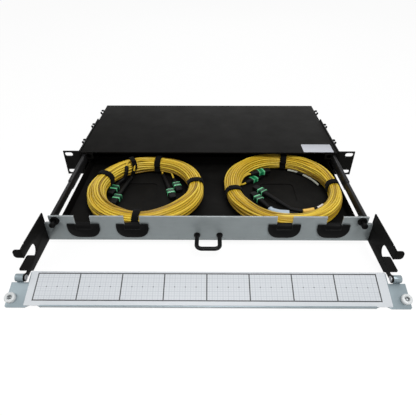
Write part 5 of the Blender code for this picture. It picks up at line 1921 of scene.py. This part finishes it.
def left_coil() -> CableCoil:
    """The left coil: two cables, each from an end at the upper left to one at the upper right.

    Returns:
        The coil, ready to build.
    """
    ring = Ring((-94.7, -75.5), 150.9, 153.6, 0.0, 24.2, 23.2, 0.05, 0.0, (82.0, 7.0, -92.5, 158.0), 7)
    one = Connector("connector_left_1", ring.inside(147, 3.2), -104.0, 12.0)
    two = Connector("connector_left_2", ring.inside(126, 3.5), -102.0, 52.0)
    three = Connector("connector_left_3", ring.inside(49, 3.5), -72.0, 14.0)
    four = Connector("connector_left_4", ring.inside(72, 3.5), -72.0, 49.0)
    ring.runs = [
        Run(100, -1, STATIONS * 23 + 9, (-0.3, 0.93), (-0.9, -0.5)),
        Run(95, -1, STATIONS * 23 + 5, (-0.55, 0.84), (-0.9, -0.4)),
    ]
    rise_one = (
        ring.beside(137, -1.17, 11.5), ring.beside(133.5, -1.19, 18.5), ring.beside(130.5, -1.1, 26.0),
        ring.beside(127, -0.78, 32.4), ring.beside(120, -0.42, 33.3), ring.beside(109, -0.32, 31.6),
    )
    rise_two = (
        ring.beside(121.5, -1.1, 13.5), ring.beside(119, -1.17, 21.0), ring.beside(116.5, -1.02, 28.0),
        ring.beside(113, -0.74, 31.8), ring.beside(105, -0.6, 31.3),
    )
    long_boot = Sleeve("boot_sleeve_1", -0.5, 33.0, 3.1, "boot_rubber")
    short_boot = Sleeve("boot_sleeve_2", -0.5, 16.0, 3.1, "boot_rubber")
    cords = [
        Cord("cable_left_1", Lead(one, rise_one, (long_boot,), 3.5), Lead(three), (0,)),
        Cord("cable_left_2", Lead(two, rise_two, (short_boot,), 3.5), Lead(four), (1,)),
    ]
    return CableCoil(Side.LEFT, ring, cords, (Tie(116.5, (-6.0, 7.2), (10.0, 8.4), 8.0),))


def right_coil() -> CableCoil:
    """The right coil: two doubled cables, each folded under the rear strap.

    Returns:
        The coil, ready to build.
    """
    ring = Ring((114.3, -70.6), 155.6, 164.8, 7.3, 20.4, 21.6, 0.15, 0.17, (73.0, -176.5, -4.6), 11)
    # these two connectors take the lighter housing copy, with painted light
    one = Connector("connector_right_1", ring.inside(132, 3.5), 20.0, 12.0, 16.55, "green_body_painted_lit")
    two = Connector("connector_right_2", ring.inside(148, 3.5), 40.0, 12.0, green="green_body_painted_lit")
    three = Connector("connector_right_3", (116.3, -107.3), 129.0, 46.0)
    four = Connector("connector_right_4", (90.2, -111.8), 119.0, 23.0)
    ring.runs = [
        Run(145, 1, STATIONS * 10 + 58, (-0.96, -0.25), (-0.62, 0.76)),
        Run(70, -1, STATIONS * 10 + 20, (0.66, 0.76), (-0.86, -0.62)),
        Run(160, 1, STATIONS * 10 + 55, (-0.86, -0.6), (-0.6, 0.34)),
        Run(70, -1, STATIONS * 10 + 24, (0.7, 0.34), (-0.86, -0.62)),
    ]
    third = Lead(
        three, ((122.6, -112.4, 7.8), (136.5, -116.2, 7.6), (154.0, -112.2, 7.6), (165.5, -106.6, 8.4)), (
            Sleeve("black_sleeve_1", -0.5, 24.0, 2.9, "boot_rubber"),
            Sleeve("yellow_sleeve", 24.4, 42.0, 2.9, "warm_sleeve"),
            Sleeve("black_sleeve_2", 42.4, 47.5, 3.1, "boot_rubber"),
            Sleeve("pale_sleeve", 48.0, 60.0, 2.4, "pale_sleeve"),
        ))
    fourth = Lead(
        four, ((102.7, -121.3, 8.8), (117.0, -123.0, 8.8), (131.7, -124.1, 7.4), (150.0, -125.6, 7.6)), (
            Sleeve("label_sleeve_film", 0.7, 30.5, 4.2, "sleeve_film", ("label_sleeve",)),
            Sleeve("black_sleeve_3", 30.9, 43.0, 2.7, "boot_rubber"),
        ), 5.5)
    cords = [
        Cord("cable_right_1", Lead(one), third, (0, 1), ("tail_right_1",)),
        Cord("cable_right_2", Lead(two), fourth, (2, 3), ("tail_right_2",)),
    ]
    edges = (
        EdgeSleeve("edge_sleeve_1", 65.0, 51.0, 1.7, "grey_sleeve"),
        EdgeSleeve("edge_sleeve_2", 50.6, 42.4, 2.0, "boot_rubber"),
        EdgeSleeve("edge_sleeve_3", 42.0, 14.0, 1.7, "grey_sleeve"),
    )
    return CableCoil(Side.RIGHT, ring, cords, edges=edges)


def main() -> None:
    """Build every group of pieces in order."""
    logging.basicConfig(level=logging.INFO, format="%(message)s")
    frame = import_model()
    cad_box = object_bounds()
    stage = Stage()
    stage.build_camera()
    shop = Workshop()
    for coil in (left_coil(), right_coil()):
        coil.build(shop)
    SheetMetal().dress(shop, frame["nodes"])
    SmallFittings().build(shop)
    stage.build_lights()
    stage.build_floor(cad_box[0][2])


if __name__ == "__main__":
    main()
